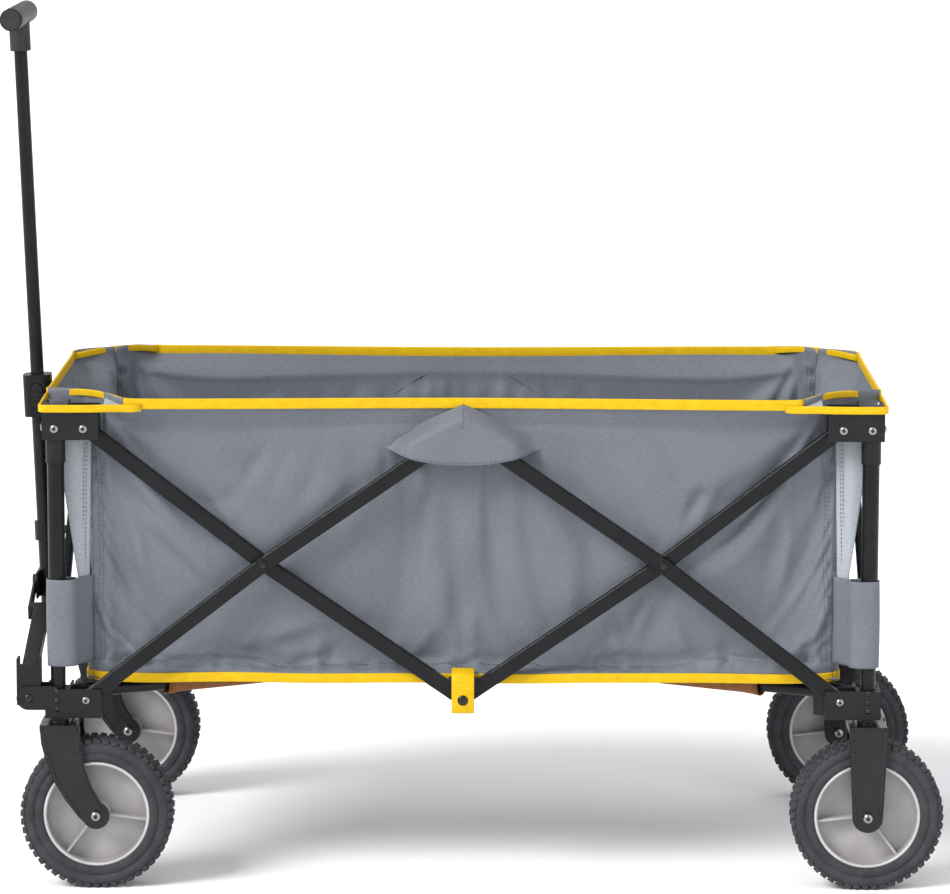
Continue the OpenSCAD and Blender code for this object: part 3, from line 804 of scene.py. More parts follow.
@dataclass(frozen=True)
class Corner:
    """A corner post, and the frame measured inwards from its axis at the floor."""

    end: End
    side: Side

    @property
    def tag(self) -> str:
        """The short name that the corner's nodes end in."""
        return self.end.value[0] + self.side.value[0]

    @property
    def sx(self) -> int:
        """The inward direction along the length."""
        return 1 if self.end is End.FRONT else -1

    @property
    def sy(self) -> int:
        """The inward direction across the width."""
        return 1 if self.side is Side.LEFT else -1

    @property
    def top(self) -> str:
        """The body that holds the top bracket and the upper post."""
        return f"{self.end.value}_{self.side.value}_top"

    @property
    def base(self) -> str:
        """The body that holds the bottom bracket and the lower post."""
        return f"{self.end.value}_{self.side.value}_base"

    @property
    def axis(self) -> Vector:
        """The post's axis at the floor."""
        low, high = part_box(f"upper_post_{self.tag}")
        return Vector(((low.x + high.x) / 2, (low.y + high.y) / 2, 0))

    def at(self, x: float, y: float, z: float) -> Vector:
        """Return a point given in millimetres inwards and upwards."""
        return self.axis + Vector((self.sx * x, self.sy * y, z)) * MM

    def facing(self, x: float, y: float, z: float = 0.0) -> tuple[float, float, float]:
        """Return a direction given inwards."""
        return (self.sx * x, self.sy * y, z)


CORNERS = [Corner(end, side) for side in Side for end in End]
BY_TAG = {c.tag: c for c in CORNERS}
LONG_WALLS = ("left", "right")
INWARD = {"left": (1, 1), "right": (1, -1), "front": (0, 1),
          "rear": (0, -1)}  # axis across the wall, and its sign
OUTWARD = {"left": (0, -1), "right": (0, 1), "front": (-1, 0), "rear": (1, 0)}
WALL_BODY = {
    "left": "front_left_top",
    "right": "front_right_top",
    "front": "front_left_top",
    "rear": "rear_left_top",
}


def refined(grid: np.ndarray) -> np.ndarray:
    """Put a point half-way between each two of a grid's points, on a smooth curve through them."""
    for _ in range(2):
        ends = np.concatenate([2 * grid[:1] - grid[1:2], grid, 2 * grid[-1:] - grid[-2:-1]])
        middle = (9 * (ends[1:-2] + ends[2:-1]) - ends[:-3] - ends[3:]) / 16
        out = np.zeros((2 * len(grid) - 1, *grid.shape[1:]))
        out[::2], out[1::2] = grid, middle
        grid = out.swapaxes(0, 1)
    return grid.copy()


# Folds of a side wall, in millimetres: place along and up, turn in degrees, half length, half width, height
FOLDS = (
    (124, 462, -42, 46, 10, 4.2), (160, 415, -36, 52, 11, 4.6), (212, 452, -58, 34, 9, 3.6),
    (245, 430, -70, 26, 8, 3.0), (96, 400, -80, 60, 12, 3.0),
    (108, 300, 52, 52, 14, 3.4), (150, 286, 34, 44, 12, 3.0), (190, 276, 78, 22, 8, 3.4),
    (232, 296, 60, 26, 9, 3.4),
    (285, 318, 18, 46, 10, 3.6), (318, 282, 84, 24, 8, 3.8), (362, 270, 76, 18, 7, 3.4),
    (300, 452, 42, 70, 12, 3.4), (402, 300, 96, 40, 10, 2.8),
    (428, 290, 62, 28, 8, 4.4), (462, 276, 20, 14, 7, 4.0), (486, 300, 104, 34, 9, 4.2),
    (522, 284, 112, 28, 8, 3.6), (452, 350, 80, 44, 16, 3.0),
    (590, 345, 96, 50, 13, 3.2), (610, 276, 70, 20, 8, 3.6), (640, 300, 108, 36, 10, 3.8),
    (668, 330, 70, 44, 10, 3.4), (560, 440, 128, 60, 14, 2.6),
    (752, 505, 36, 70, 16, 3.0),
)


# ---------------------------------------------------------------- sub-assemblies


@dataclass
class Frame:
    """The steel frame and its brackets, dressed, with the heads of their screws and rivets."""

    plate_y: float = -14.5
    arm_face_y: float = -10.5
    pivot_x: float = 33.5
    pivot_y: float = 26.0
    cross_x: float = 241.5
    low_z: float = 224.0
    cross_z: float = 385.0
    top_z: float = 546.0
    screw_r: float = 5.2
    finishes: dict[str, Finish] = field(default_factory=lambda: {
        "bottom_bracket": NYLON, "top_bracket": NYLON, "hem_hub": NYLON, "handle_yoke": NYLON,
        "lock_button": NYLON,
        "lower_post": STEEL, "upper_post": STEEL, "rise_arm": STEEL, "fall_arm": STEEL, "floor_arm": STEEL,
        "front_rise_arm": STEEL, "front_fall_arm": STEEL, "rear_rise_arm": STEEL, "rear_fall_arm": STEEL,
        "handle_leg": STEEL, "handle_tube": STEEL, "handle_pole": STEEL, "handle_grip": GRIP,
        "fork": FORK, "wheel": RIM, "tyre": TYRE, "tub": SLATE,
    })

    def dress(self) -> None:
        """Give each node the finish of its kind."""
        for name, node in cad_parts.items():
            kind = max((k for k in self.finishes if name.startswith(k)), key=len)
            if not node.material_slots:
                node.data.materials.append(None)
            for slot in node.material_slots:
                slot.material = self.finishes[kind].build()

    def fasten(self) -> None:
        """Set the screw heads on every bracket and crossing."""
        for corner in CORNERS:
            out = corner.facing(0, -1)
            end_out = corner.facing(-1, 0)
            plate = self.plate_y - 0.2
            top = [(corner.at(x, plate, self.top_z), out) for x in (0.0, self.pivot_x)]
            top += [(corner.at(plate, y, self.top_z), end_out) for y in (0.0, self.pivot_y)]
            screw_heads(f"top_screws_{corner.tag}", top, corner.top, "zinc", self.screw_r, 2.8)
            low = [(corner.at(self.pivot_x, plate, self.low_z), out),
                   (corner.at(plate, self.pivot_y, self.low_z), end_out)]
            screw_heads(f"bottom_pivots_{corner.tag}", low, corner.base, "zinc", 4.9, 2.8)
            small = [(corner.at(0, plate, self.low_z + dz), out) for dz in (-10.5, 0.0, 10.5)]
            screw_heads(f"bottom_screws_{corner.tag}", small, corner.base, "black", 3.4, 1.8)
            rivet = [(corner.at(self.cross_x, self.arm_face_y - 0.2, self.cross_z), out)]
            screw_heads(f"crossing_rivet_{corner.tag}", rivet,
                        f"rise_arm_{corner.end.value}_{corner.side.value}", "black", 5.0, 2.4)


@dataclass
class ForkRolls:
    """The rolled edges of a fork's two pressed legs."""

    corner: Corner
    face_y: float = 28.6
    caster: tuple[tuple[tuple[float, float], ...], ...] = (
        ((-16.2, 194), (-14.9, 176.5), (-9.5, 155.5), (-1.2, 133), (12, 110.5), (26.5, 91)),
        ((23.5, 194), (25, 168.5), (29.6, 142.8), (38.3, 119), (48.4, 102), (56, 92)),
    )
    fixed: tuple[tuple[tuple[float, float], ...], ...] = (((-19.2, 194), (-14.4, 92)),
                                                          ((19.2, 194), (14.4, 92)))

    def build(self) -> None:
        """Make the rolls on both faces of both legs."""
        front = self.corner.end is End.FRONT
        parts = []
        for k, line in enumerate(self.caster if front else self.fixed):
            steps = np.linspace(0, len(line) - 1, 24)
            x, z = (np.interp(steps, range(len(line)), [p[n] for p in line]) for n in (0, 1))
            for _ in range(3 if front else 0):
                x[1:-1], z[1:-1] = (x[:-2] + 2 * x[1:-1] + x[2:]) / 4, (z[:-2] + 2 * z[1:-1] + z[2:]) / 4
            for face in (-self.face_y, self.face_y):
                path = np.array([self.corner.at(a, face, b) for a, b in zip(x, z)])
                parts.append(sweep(f"roll_{k}_{face > 0}", path, rounded_bar(1.8, 2.6, 0.5, 3), (0, 1, 0),
                                   FORK))
        rolls = joined(f"fork_rolls_{self.corner.tag}", parts)
        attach(rolls, f"caster_{self.corner.side.value}" if front else self.corner.base)


@dataclass
class Wheel:
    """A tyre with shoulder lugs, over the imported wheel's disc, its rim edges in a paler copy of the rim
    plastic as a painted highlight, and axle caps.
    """

    corner: Corner
    seat_r: float = 62.6
    width: float = 45.0
    rim_face: float = 19.5
    lugs: int = 52
    cap_sink: float = 1.0

    @property
    def body(self) -> str:
        """The body that spins."""
        return f"{self.corner.end.value}_{self.corner.side.value}_wheel"

    @property
    def centre(self) -> Vector:
        """The wheel's middle."""
        low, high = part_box(f"tyre_{self.corner.tag}")
        return (low + high) / 2

    def outline(self) -> list[tuple[float, float]]:
        """The tyre's section, without its lugs."""
        w = self.width / 2
        half = [(self.seat_r, w - 3.2), (self.seat_r + 1.2, w - 1.4), (self.seat_r + 3.5, w - 0.9), (71.8, w),
                (72.5, w - 1.1), (73.8, w - 1.1),
                (74.5, w), (80.0, w - 0.6), (83.6, w - 2.0), (86.0, w - 4.6), (87.3, w - 8.0),
                (87.7, w - 15.0)]
        return half + [(r, -a) for r, a in half[::-1]]

    def row(self, name: str, **sizes: float) -> bpy.types.Object:
        """Make a row of lugs about Z, and turn it onto the axle."""
        carrier = new_object(name, [(0, 0, 0)], [], TYRE)
        LUGS.run(carrier, **sizes)
        bevelled(carrier, 0.7)
        carrier.data.transform(Matrix.Translation(self.centre) @ Matrix.Rotation(math.radians(90), 4, "X"))
        return carrier

    def build(self) -> None:
        """Make the tyre, its rim edges and the axle caps."""
        tag = self.corner.tag
        tyre = lathe(f"tyre_tread_{tag}", self.outline(), self.centre, TYRE, 128)
        parts = [tyre]
        pitch = 2 * math.pi / self.lugs
        for k, side in enumerate((1, -1)):
            parts.append(self.row(f"lug_outer_{k}", Count=self.lugs, Radius=0.0855, Height=0.0054,
                                  Length=0.0076, Width=0.0112,
                                  Skew=0.3 * side, Drop=0.32 * side, Offset=side * 0.0152,
                                  Phase=pitch / 2 * k))
            parts.append(self.row(f"lug_inner_{k}", Count=self.lugs, Radius=0.0867, Height=0.0044,
                                  Length=0.0064, Width=0.0115,
                                  Skew=0.62 * side, Drop=0.0, Offset=side * 0.0068,
                                  Phase=pitch * (0.25 + k / 2)))
        tyre = joined(f"tyre_tread_{tag}", parts)
        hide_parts(f"tyre_{tag}")
        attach(tyre, self.body)
        rings = []
        face = self.rim_face
        ring = [(59.2, face - 1.5), (59.4, face + 0.3), (60.3, face + 0.8),
                (61.8, face + 0.6), (62.3, face - 0.4), (61.8, face - 2.5)]
        # the lip rings take the paler rim plastic, a painted highlight
        for k, side in enumerate((1, -1)):
            rings.append(lathe(f"ring_{k}", [(r, a * side) for r, a in ring], self.centre, RIM_LIP_HIGHLIGHT, 96))
        edge = joined(f"rim_edges_{tag}", rings)
        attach(edge, self.body)
        mount = f"caster_{self.corner.side.value}" if self.corner.end is End.FRONT else self.corner.base
        low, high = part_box(f"fork_{tag}")
        faces = ((low.y + self.cap_sink * MM, -1), (high.y - self.cap_sink * MM, 1))
        caps = [(Vector((self.centre.x, y, self.centre.z)), (0, way, 0)) for y, way in faces]
        screw_heads(f"axle_caps_{tag}", caps, mount, "zinc", 6.2, 4.2)


def bevelled(piece: bpy.types.Object, width: float, segments: int = 2) -> bpy.types.Object:
    """Round a piece's sharp edges by width in millimetres, and return it."""
    bevel = piece.modifiers.new("ease", "BEVEL")
    bevel.width = width * MM
    bevel.segments = segments
    bevel.limit_method = "ANGLE"
    settle(piece)
    auto_smooth(piece, 50)
    return piece


@dataclass
class Tub:
    """The cloth tub: one lofted shell, slackened by a cloth run, then cut at its corner seams."""

    wall_x: float = 32.5
    wall_y: float = 17.0
    rim_side_y: float = 6.5
    rim_split_y: float = -7.0
    rim_end_x: float = -15.5
    split_x: float = 86.0
    split_y: float = 70.0
    floor_z: float = 244.5
    rim_z: float = 580.0
    flare_z: float = 555.0
    flare_top: float = 568.0
    corner_r: float = 28.0
    spacing: float = 8.0
    out_room: float = 4.5
    in_room: float = 22.0
    side_keep: float = 0.258
    end_keep: float = 0.257
    band_h: float = 12.5
    band_t: float = 3.0
    fullness: float = 0.034
    set_in: float = 5.0
    lean_z: float = 430.0
    cloth_frames: int = 33
    folded_x: float = 0.3081
    folded_y: float = 0.3113

    def __post_init__(self) -> None:
        """Take the frame's spans from the posts."""
        front, rear = BY_TAG["fl"], BY_TAG["rl"]
        self.length = (rear.axis.x - front.axis.x) / MM
        self.width = (BY_TAG["fr"].axis.y - front.axis.y) / MM
        self.origin = front.axis

    def section(self, long_wall: bool, count: int, top: bool) -> np.ndarray:
        """Give half of the path of a wall at the foot or the rim, from its corner seam to its middle.

        Args:
            long_wall: whether it is a side wall; an end wall otherwise.
            count: how many points.
            top: whether it is the rim's path.

        Returns:
            The points as (along, inwards) in millimetres from the corner post.
        """
        near, along0 = (self.wall_y, self.wall_x) if long_wall else (self.wall_x, self.wall_y)
        middle = (self.length if long_wall else self.width) / 2
        r = self.corner_r
        seam = r * (1 - math.sqrt(0.5))
        share = np.linspace(0, 1, count) ** 1.25
        if not top:
            along = along0 + seam + share * (middle - along0 - seam)
            arc = np.clip(along0 + r - along, 0, r)
            return np.stack([along, near + r - np.sqrt(r * r - arc * arc)], 1)
        if long_wall:
            seam_at, split, rim_mid = (34.5, 37.5), (self.split_x, self.rim_split_y), self.rim_side_y
        else:
            seam_at, split, rim_mid = (37.5, 34.5), (self.split_y, self.rim_end_x), self.rim_end_x
        along = seam_at[0] + share * (middle - seam_at[0])
        near_rise = smoothstep((along - seam_at[0]) / (split[0] - seam_at[0])) ** 0.9
        far_rise = smoothstep((along - split[0]) / (middle - split[0]))
        pocket = seam_at[1] + (split[1] - seam_at[1]) * near_rise
        between = split[1] + (rim_mid - split[1]) * far_rise
        return np.stack([along, np.where(along < split[0], pocket, between)], 1)

    def wall_grid(self, long_wall: bool) -> np.ndarray:
        """Give a wall's points before it slackens, in a corner's own frame.

        Args:
            long_wall: whether it is a side wall; an end wall otherwise.

        Returns:
            Rows from the floor up by columns from seam to seam, as (along, inwards, up) in millimetres.
        """
        half = int((self.length if long_wall else self.width) / 2 / self.spacing)
        rows = int((self.rim_z - self.floor_z) / self.spacing) + 1
        foot, rim = self.section(long_wall, half, False), self.section(long_wall, half, True)
        span = self.length if long_wall else self.width
        heights = np.linspace(self.floor_z, self.rim_z, rows)
        grid = np.zeros((rows, 2 * half - 1, 3))
        near = self.wall_y if long_wall else self.wall_x
        for i, z in enumerate(heights):
            # the corner leans in from well below the rim, while the wall only flares outwards above the arms
            lean = smoothstep((z - self.lean_z) / (self.flare_top - self.lean_z))
            start = self.flare_z if long_wall else np.maximum(460, self.flare_z - 0.7 * (foot[:, 0] - 40))
            flare = smoothstep((z - start) / (self.flare_top - start))
            blend = np.where(rim[:, 1] > near, lean, flare)[:, None]
            line = foot * (1 - blend) + rim * blend
            line[:, 0] = foot[:, 0] * (1 - lean) + rim[:, 0] * lean
            arch = 5.0 * np.exp(-((line[:, 0] - 50) / 24) ** 2) * smoothstep((z - 500) / (self.rim_z - 500))
            row = np.concatenate([line, np.stack([span - line[-2::-1, 0], line[-2::-1, 1]], 1)])
            lift = np.concatenate([arch, arch[-2::-1]])
            grid[i, :, 0], grid[i, :, 1], grid[i, :, 2] = row[:, 0], row[:, 1], z + lift
        return grid

    def world(self, grid: np.ndarray, which: str) -> np.ndarray:
        """Turn a wall's grid from its corner frame to the wagon's frame, in metres.

        Args:
            grid: along, inwards and up, in millimetres.
            which: left, right, front or rear.

        Returns:
            The points in metres.
        """
        along, inward, up = grid[..., 0], grid[..., 1], grid[..., 2]
        if which == "left":
            x, y = along, inward
        elif which == "right":
            x, y = along, self.width - inward
        elif which == "front":
            x, y = inward, along
        else:
            x, y = self.length - inward, along
        return np.stack([x, y, up], -1) * MM + np.array([self.origin.x, self.origin.y, 0])

    def slacken(self, grids: dict[str, np.ndarray]) -> dict[str, np.ndarray]:
        """Let the whole shell hang as cloth, held at its rim, foot and corner seams.

        Args:
            grids: each wall's points in metres.

        Returns:
            The same grids after the cloth has settled.
        """
        verts, faces, pins, starts = [], [], [], {}
        for which, grid in grids.items():
            rows, columns = grid.shape[:2]
            starts[which] = len(verts)
            verts += [tuple(p) for p in grid.reshape(-1, 3)]
            faces += [tuple(v + starts[which] for v in f) for f in grid_faces(rows, columns)]
            for i in range(rows):
                for j in range(columns):
                    edge = min(j, columns - 1 - j)
                    held = i >= rows - 3 or i <= 1 or edge == 0
                    pins.append(1.0 if held else (0.25 if edge < 3 else 0.0))
        shell = new_object("shell", verts, faces, SLATE)
        group = shell.vertex_groups.new(name="held")
        for index, weight in enumerate(pins):
            group.add([index], weight, "REPLACE")
        cloth = shell.modifiers.new("cloth", "CLOTH")
        settings = cloth.settings
        settings.quality = 6
        settings.mass = 0.25
        settings.tension_stiffness = settings.compression_stiffness = 18
        settings.shear_stiffness = 6
        settings.bending_stiffness = 0.9
        settings.air_damping = 2.5
        settings.vertex_group_mass = "held"
        settings.shrink_min = settings.shrink_max = -self.fullness
        cloth.collision_settings.use_collision = False
        cloth.collision_settings.use_self_collision = False
        scene = bpy.context.scene
        for step in range(1, self.cloth_frames + 1):
            scene.frame_set(step)
        settle(shell)
        co = np.zeros(len(shell.data.vertices) * 3)
        shell.data.vertices.foreach_get("co", co)
        co = co.reshape(-1, 3)
        bpy.data.objects.remove(shell)
        scene.frame_set(1)
        out = {}
        for which, grid in grids.items():
            count = grid.shape[0] * grid.shape[1]
            out[which] = co[starts[which] : starts[which] + count].reshape(grid.shape)
        return out

    def tamed(self, before: np.ndarray, after: np.ndarray, which: str) -> np.ndarray:
        """Limit how far the slack cloth has moved, smoothly, so that it stays off the arms outside it."""
        axis, sign = INWARD[which]
        moved = (after[..., axis] - before[..., axis]) * sign / MM
        room = np.where(moved < 0, self.out_room, self.in_room)
        capped = room * np.tanh(moved / room)
        result = after.copy()
        result[..., axis] = before[..., axis] + capped * sign * MM
        return result

    def creases(self, which: str, rows: int, columns: int) -> np.ndarray:
        """Give how far the cloth lies outwards of its plane where it is tied, pressed and pulled.

        Args:
            which: left, right, front or rear.
            rows: points up the wall.
            columns: points along it.

        Returns:
            The distances in millimetres, rows by columns.
        """
        span = self.length if which in LONG_WALLS else self.width
        x, z = np.meshgrid(np.linspace(0, span, columns), np.linspace(self.floor_z, self.rim_z, rows))
        out = np.zeros(x.shape)
        near = np.minimum(x, span - x)
        reach = Frame.cross_x if which in LONG_WALLS else span / 2
        climb = (Frame.top_z - Frame.cross_z) / (reach - Frame.pivot_x)
        for rise in (1, -1):
            line = Frame.cross_z + rise * (near - reach) * climb
            away = np.abs(z - line) * 0.79
            out -= 2.6 * np.exp(-((away / 17) ** 2))
        out -= self.set_in
        if which in LONG_WALLS:
            for fx, fz, angle, length, width, height in FOLDS:
                mirrored = fx < 250 or fx > 700  # the folds near the corners lie at both ends
                for at, tilt in ((fx, angle), (span - fx, 180 - angle))[: 1 + mirrored]:
                    if which == "right":
                        at, tilt = span - at, 180 - tilt
                    turn = math.radians(tilt)
                    along = (x - at) * math.cos(turn) + (z - fz) * math.sin(turn)
                    off = (z - fz) * math.cos(turn) - (x - at) * math.sin(turn) + 0.0016 * along * along
                    ridge = np.exp(-((off / width) ** 2)) - 0.8 * np.exp(-(((off + 1.7
                                                                             * width) / width) ** 2))
                    out += 1.5 * height * np.exp(-((along / length) ** 2)) * ridge
        pucker = noise_field(x.shape, (2, int(span / 17)),
                             SEED + len(which)) * np.exp(-(((z - 262) / 24) ** 2)) * 4.6
        pucker *= 1 + 0.8 * np.exp(-(((x - span / 2) / 90) ** 2))
        slow = noise_field(x.shape, (4, int(span / 70)), SEED + 40 + len(which)) * 1.8
        keep = smoothstep((z - 252) / 10) * smoothstep((552 - z) / 30) * smoothstep((near - 38) / 24)
        return (out + pucker + slow) * keep

    def walls(self) -> dict[str, bpy.types.Object]:
        """Make the four walls."""
        side, end = self.wall_grid(True), self.wall_grid(False)
        plain = {w: self.world(side if w in LONG_WALLS else end, w) for w in INWARD}
        self.grids = dict(plain)
        soft = self.slacken(plain)
        pieces = {}
        for which, grid in soft.items():
            fine, flat = refined(grid), refined(plain[which])
            rows, columns = flat.shape[:2]
            axis, sign = INWARD[which]
            fine[..., axis] -= sign * MM * self.creases(which, rows, columns)
            soft[which] = self.tamed(flat, fine, which)
            self.grids[which] = flat
            across = flat[rows // 2, :, 0 if which in LONG_WALLS else 1]
            uv = np.stack(np.broadcast_arrays(across[None, :], flat[:, :1, 2]), 2)
            pieces[which] = cloth_sheet(f"tub_{which}_cloth", soft[which], SLATE,
                                        flip=which in ("right", "front"), levels=0, uv=uv)
        self.soft = soft
        return pieces

    def band_profile(self) -> list[tuple[float, float]]:
        """The folded binding's section: a flat tape, rounded at its edges."""
        return rounded_bar(self.band_t, self.band_h, 0.45, 3)

    def rim_path(self, which: str) -> np.ndarray:
        """The rim's line along a wall between its pockets, in metres."""
        grid = self.soft[which]
        span = self.length if which in LONG_WALLS else self.width
        split = self.split_x if which in LONG_WALLS else self.split_y
        line = grid[-1].copy()
        along = self.grids[which][-1, :, 0 if which in LONG_WALLS else 1]
        start = self.origin.x if which in LONG_WALLS else self.origin.y
        keep = (along > start + (split - 6) * MM) & (along < start + (span - split + 6) * MM)
        return line[keep]

    def corner_paths(self, corner: Corner) -> tuple[np.ndarray, np.ndarray]:
        """The outer band's line round a bracket, and the inner band's line behind it."""
        side_out, end_out, radius = -17.6, -17.4, 9.0
        outer = [(self.split_x + 15, -9.6), (self.split_x + 4, -10.2), (self.split_x * 0.75, -12.8),
                 (self.split_x * 0.5, -16.6), (20, side_out), (0, side_out)]
        for k in range(9):
            turn = math.pi / 2 * k / 8
            outer.append((end_out + radius - radius * math.sin(turn),
                          side_out + radius - radius * math.cos(turn)))
        outer += [(end_out, 12), (end_out, 36), (end_out + 0.8, 56), (self.rim_end_x, self.split_y)]
        drops = [9.4, 10.4] + [9.8] * (len(outer) - 5) + [9.0, 7.6, 6.4]
        out_pts = [corner.at(x, y, self.rim_z - drop) for (x, y), drop in zip(outer, drops)]
        inner = []
        steps = 18
        for k in range(steps + 1):
            t = k / steps
            x = self.split_x + (self.rim_end_x - self.split_x) * t
            y = self.rim_split_y + (self.split_y - self.rim_split_y) * t
            bow = math.sin(math.pi * t)
            inner.append(corner.at(x + 3.0 * bow, y + 3.0 * bow, self.rim_z - 4.5 + 6.0 * bow))
        return np.array(out_pts), np.array(inner)

    def bands(self, walls: dict[str, bpy.types.Object]) -> dict[str, list[bpy.types.Object]]:
        """Make the yellow bindings of the rim and the hem."""
        made: dict[str, list[bpy.types.Object]] = {w: [] for w in walls}
        for which in walls:
            path = self.rim_path(which) - np.array([0, 0, 5.4 * MM])
            band = sweep(f"rim_band_{which}", path, self.band_profile(), (0, 0, 1), YELLOW)
            made[which].append(band)
            line = self.soft[which][2].copy()
            out = OUTWARD[which]
            line[:, 0] += out[0] * 1.5 * MM
            line[:, 1] += out[1] * 1.5 * MM
            line[:, 2] = (self.floor_z + 1.6) * MM + 1.1 * MM * noise_field((1, len(line)), (1, 9),
                                                                            SEED + 3)[0]
            hem = sweep(f"hem_band_{which}", line, rounded_bar(2.6, 11.5), (0, 0, 1), YELLOW)
            made[which].append(hem)
        return made

    def squash(self, piece: bpy.types.Object, which: str, split: bool = False, share: float = 0.0) -> None:
        """Let a wall's piece ride its post; the width it would keep as the frame folds is worked out but not
        applied.

        Args:
            piece: the piece.
            which: the wall it belongs to.
            split: whether it ends at the rim's pockets; at the corner seams otherwise.
            share: how much of its width a piece at the wall's middle keeps, or 0 to follow the wall.
        """
        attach(piece, WALL_BODY[which])
        seam = self.corner_r * (1 - math.sqrt(0.5))
        if which in LONG_WALLS:
            span, folded, axis = self.length, self.length * self.folded_x, (1, 0, 0)
            inset = self.split_x if split else self.wall_x + seam
        else:
            span, folded, axis = self.width, self.width * self.folded_y, (0, 1, 0)
            inset = self.split_y if split else self.wall_y + seam
        keep = max(0.01, (folded - 2 * inset) / (span - 2 * inset))
        if share:
            keep, inset = share, (folded - share * span) / (2 - 2 * share)
        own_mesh(piece)

    def build(self) -> None:
        """Make the whole tub."""
        walls = self.walls()
        bands = self.bands(walls)
        for which, wall in walls.items():
            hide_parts(f"tub_{which}_wall")
            self.squash(wall, which)
            for band in bands[which]:
                self.squash(band, which, split=band.name.startswith("rim"))
            seams = self.seams(which)
            self.squash(seams, which)

    def seams(self, which: str) -> bpy.types.Object:
        """Sew the lines of stitching along a wall's hem and corner seams."""
        grid = self.soft[which][::2, ::2]
        out = OUTWARD[which]
        push = np.array([out[0], out[1], 0]) * 0.75 * MM
        columns = grid.shape[1]
        lines = []
        for sign in (1, -1):
            lines.append(grid[3] + push * sign - (grid[3] - grid[2]) * 0.2)
            for j in (2, 3, columns - 3, columns - 4):
                lines.append(grid[2:-3, j] + push * sign)
        return stitch_line(f"seams_{which}", lines)


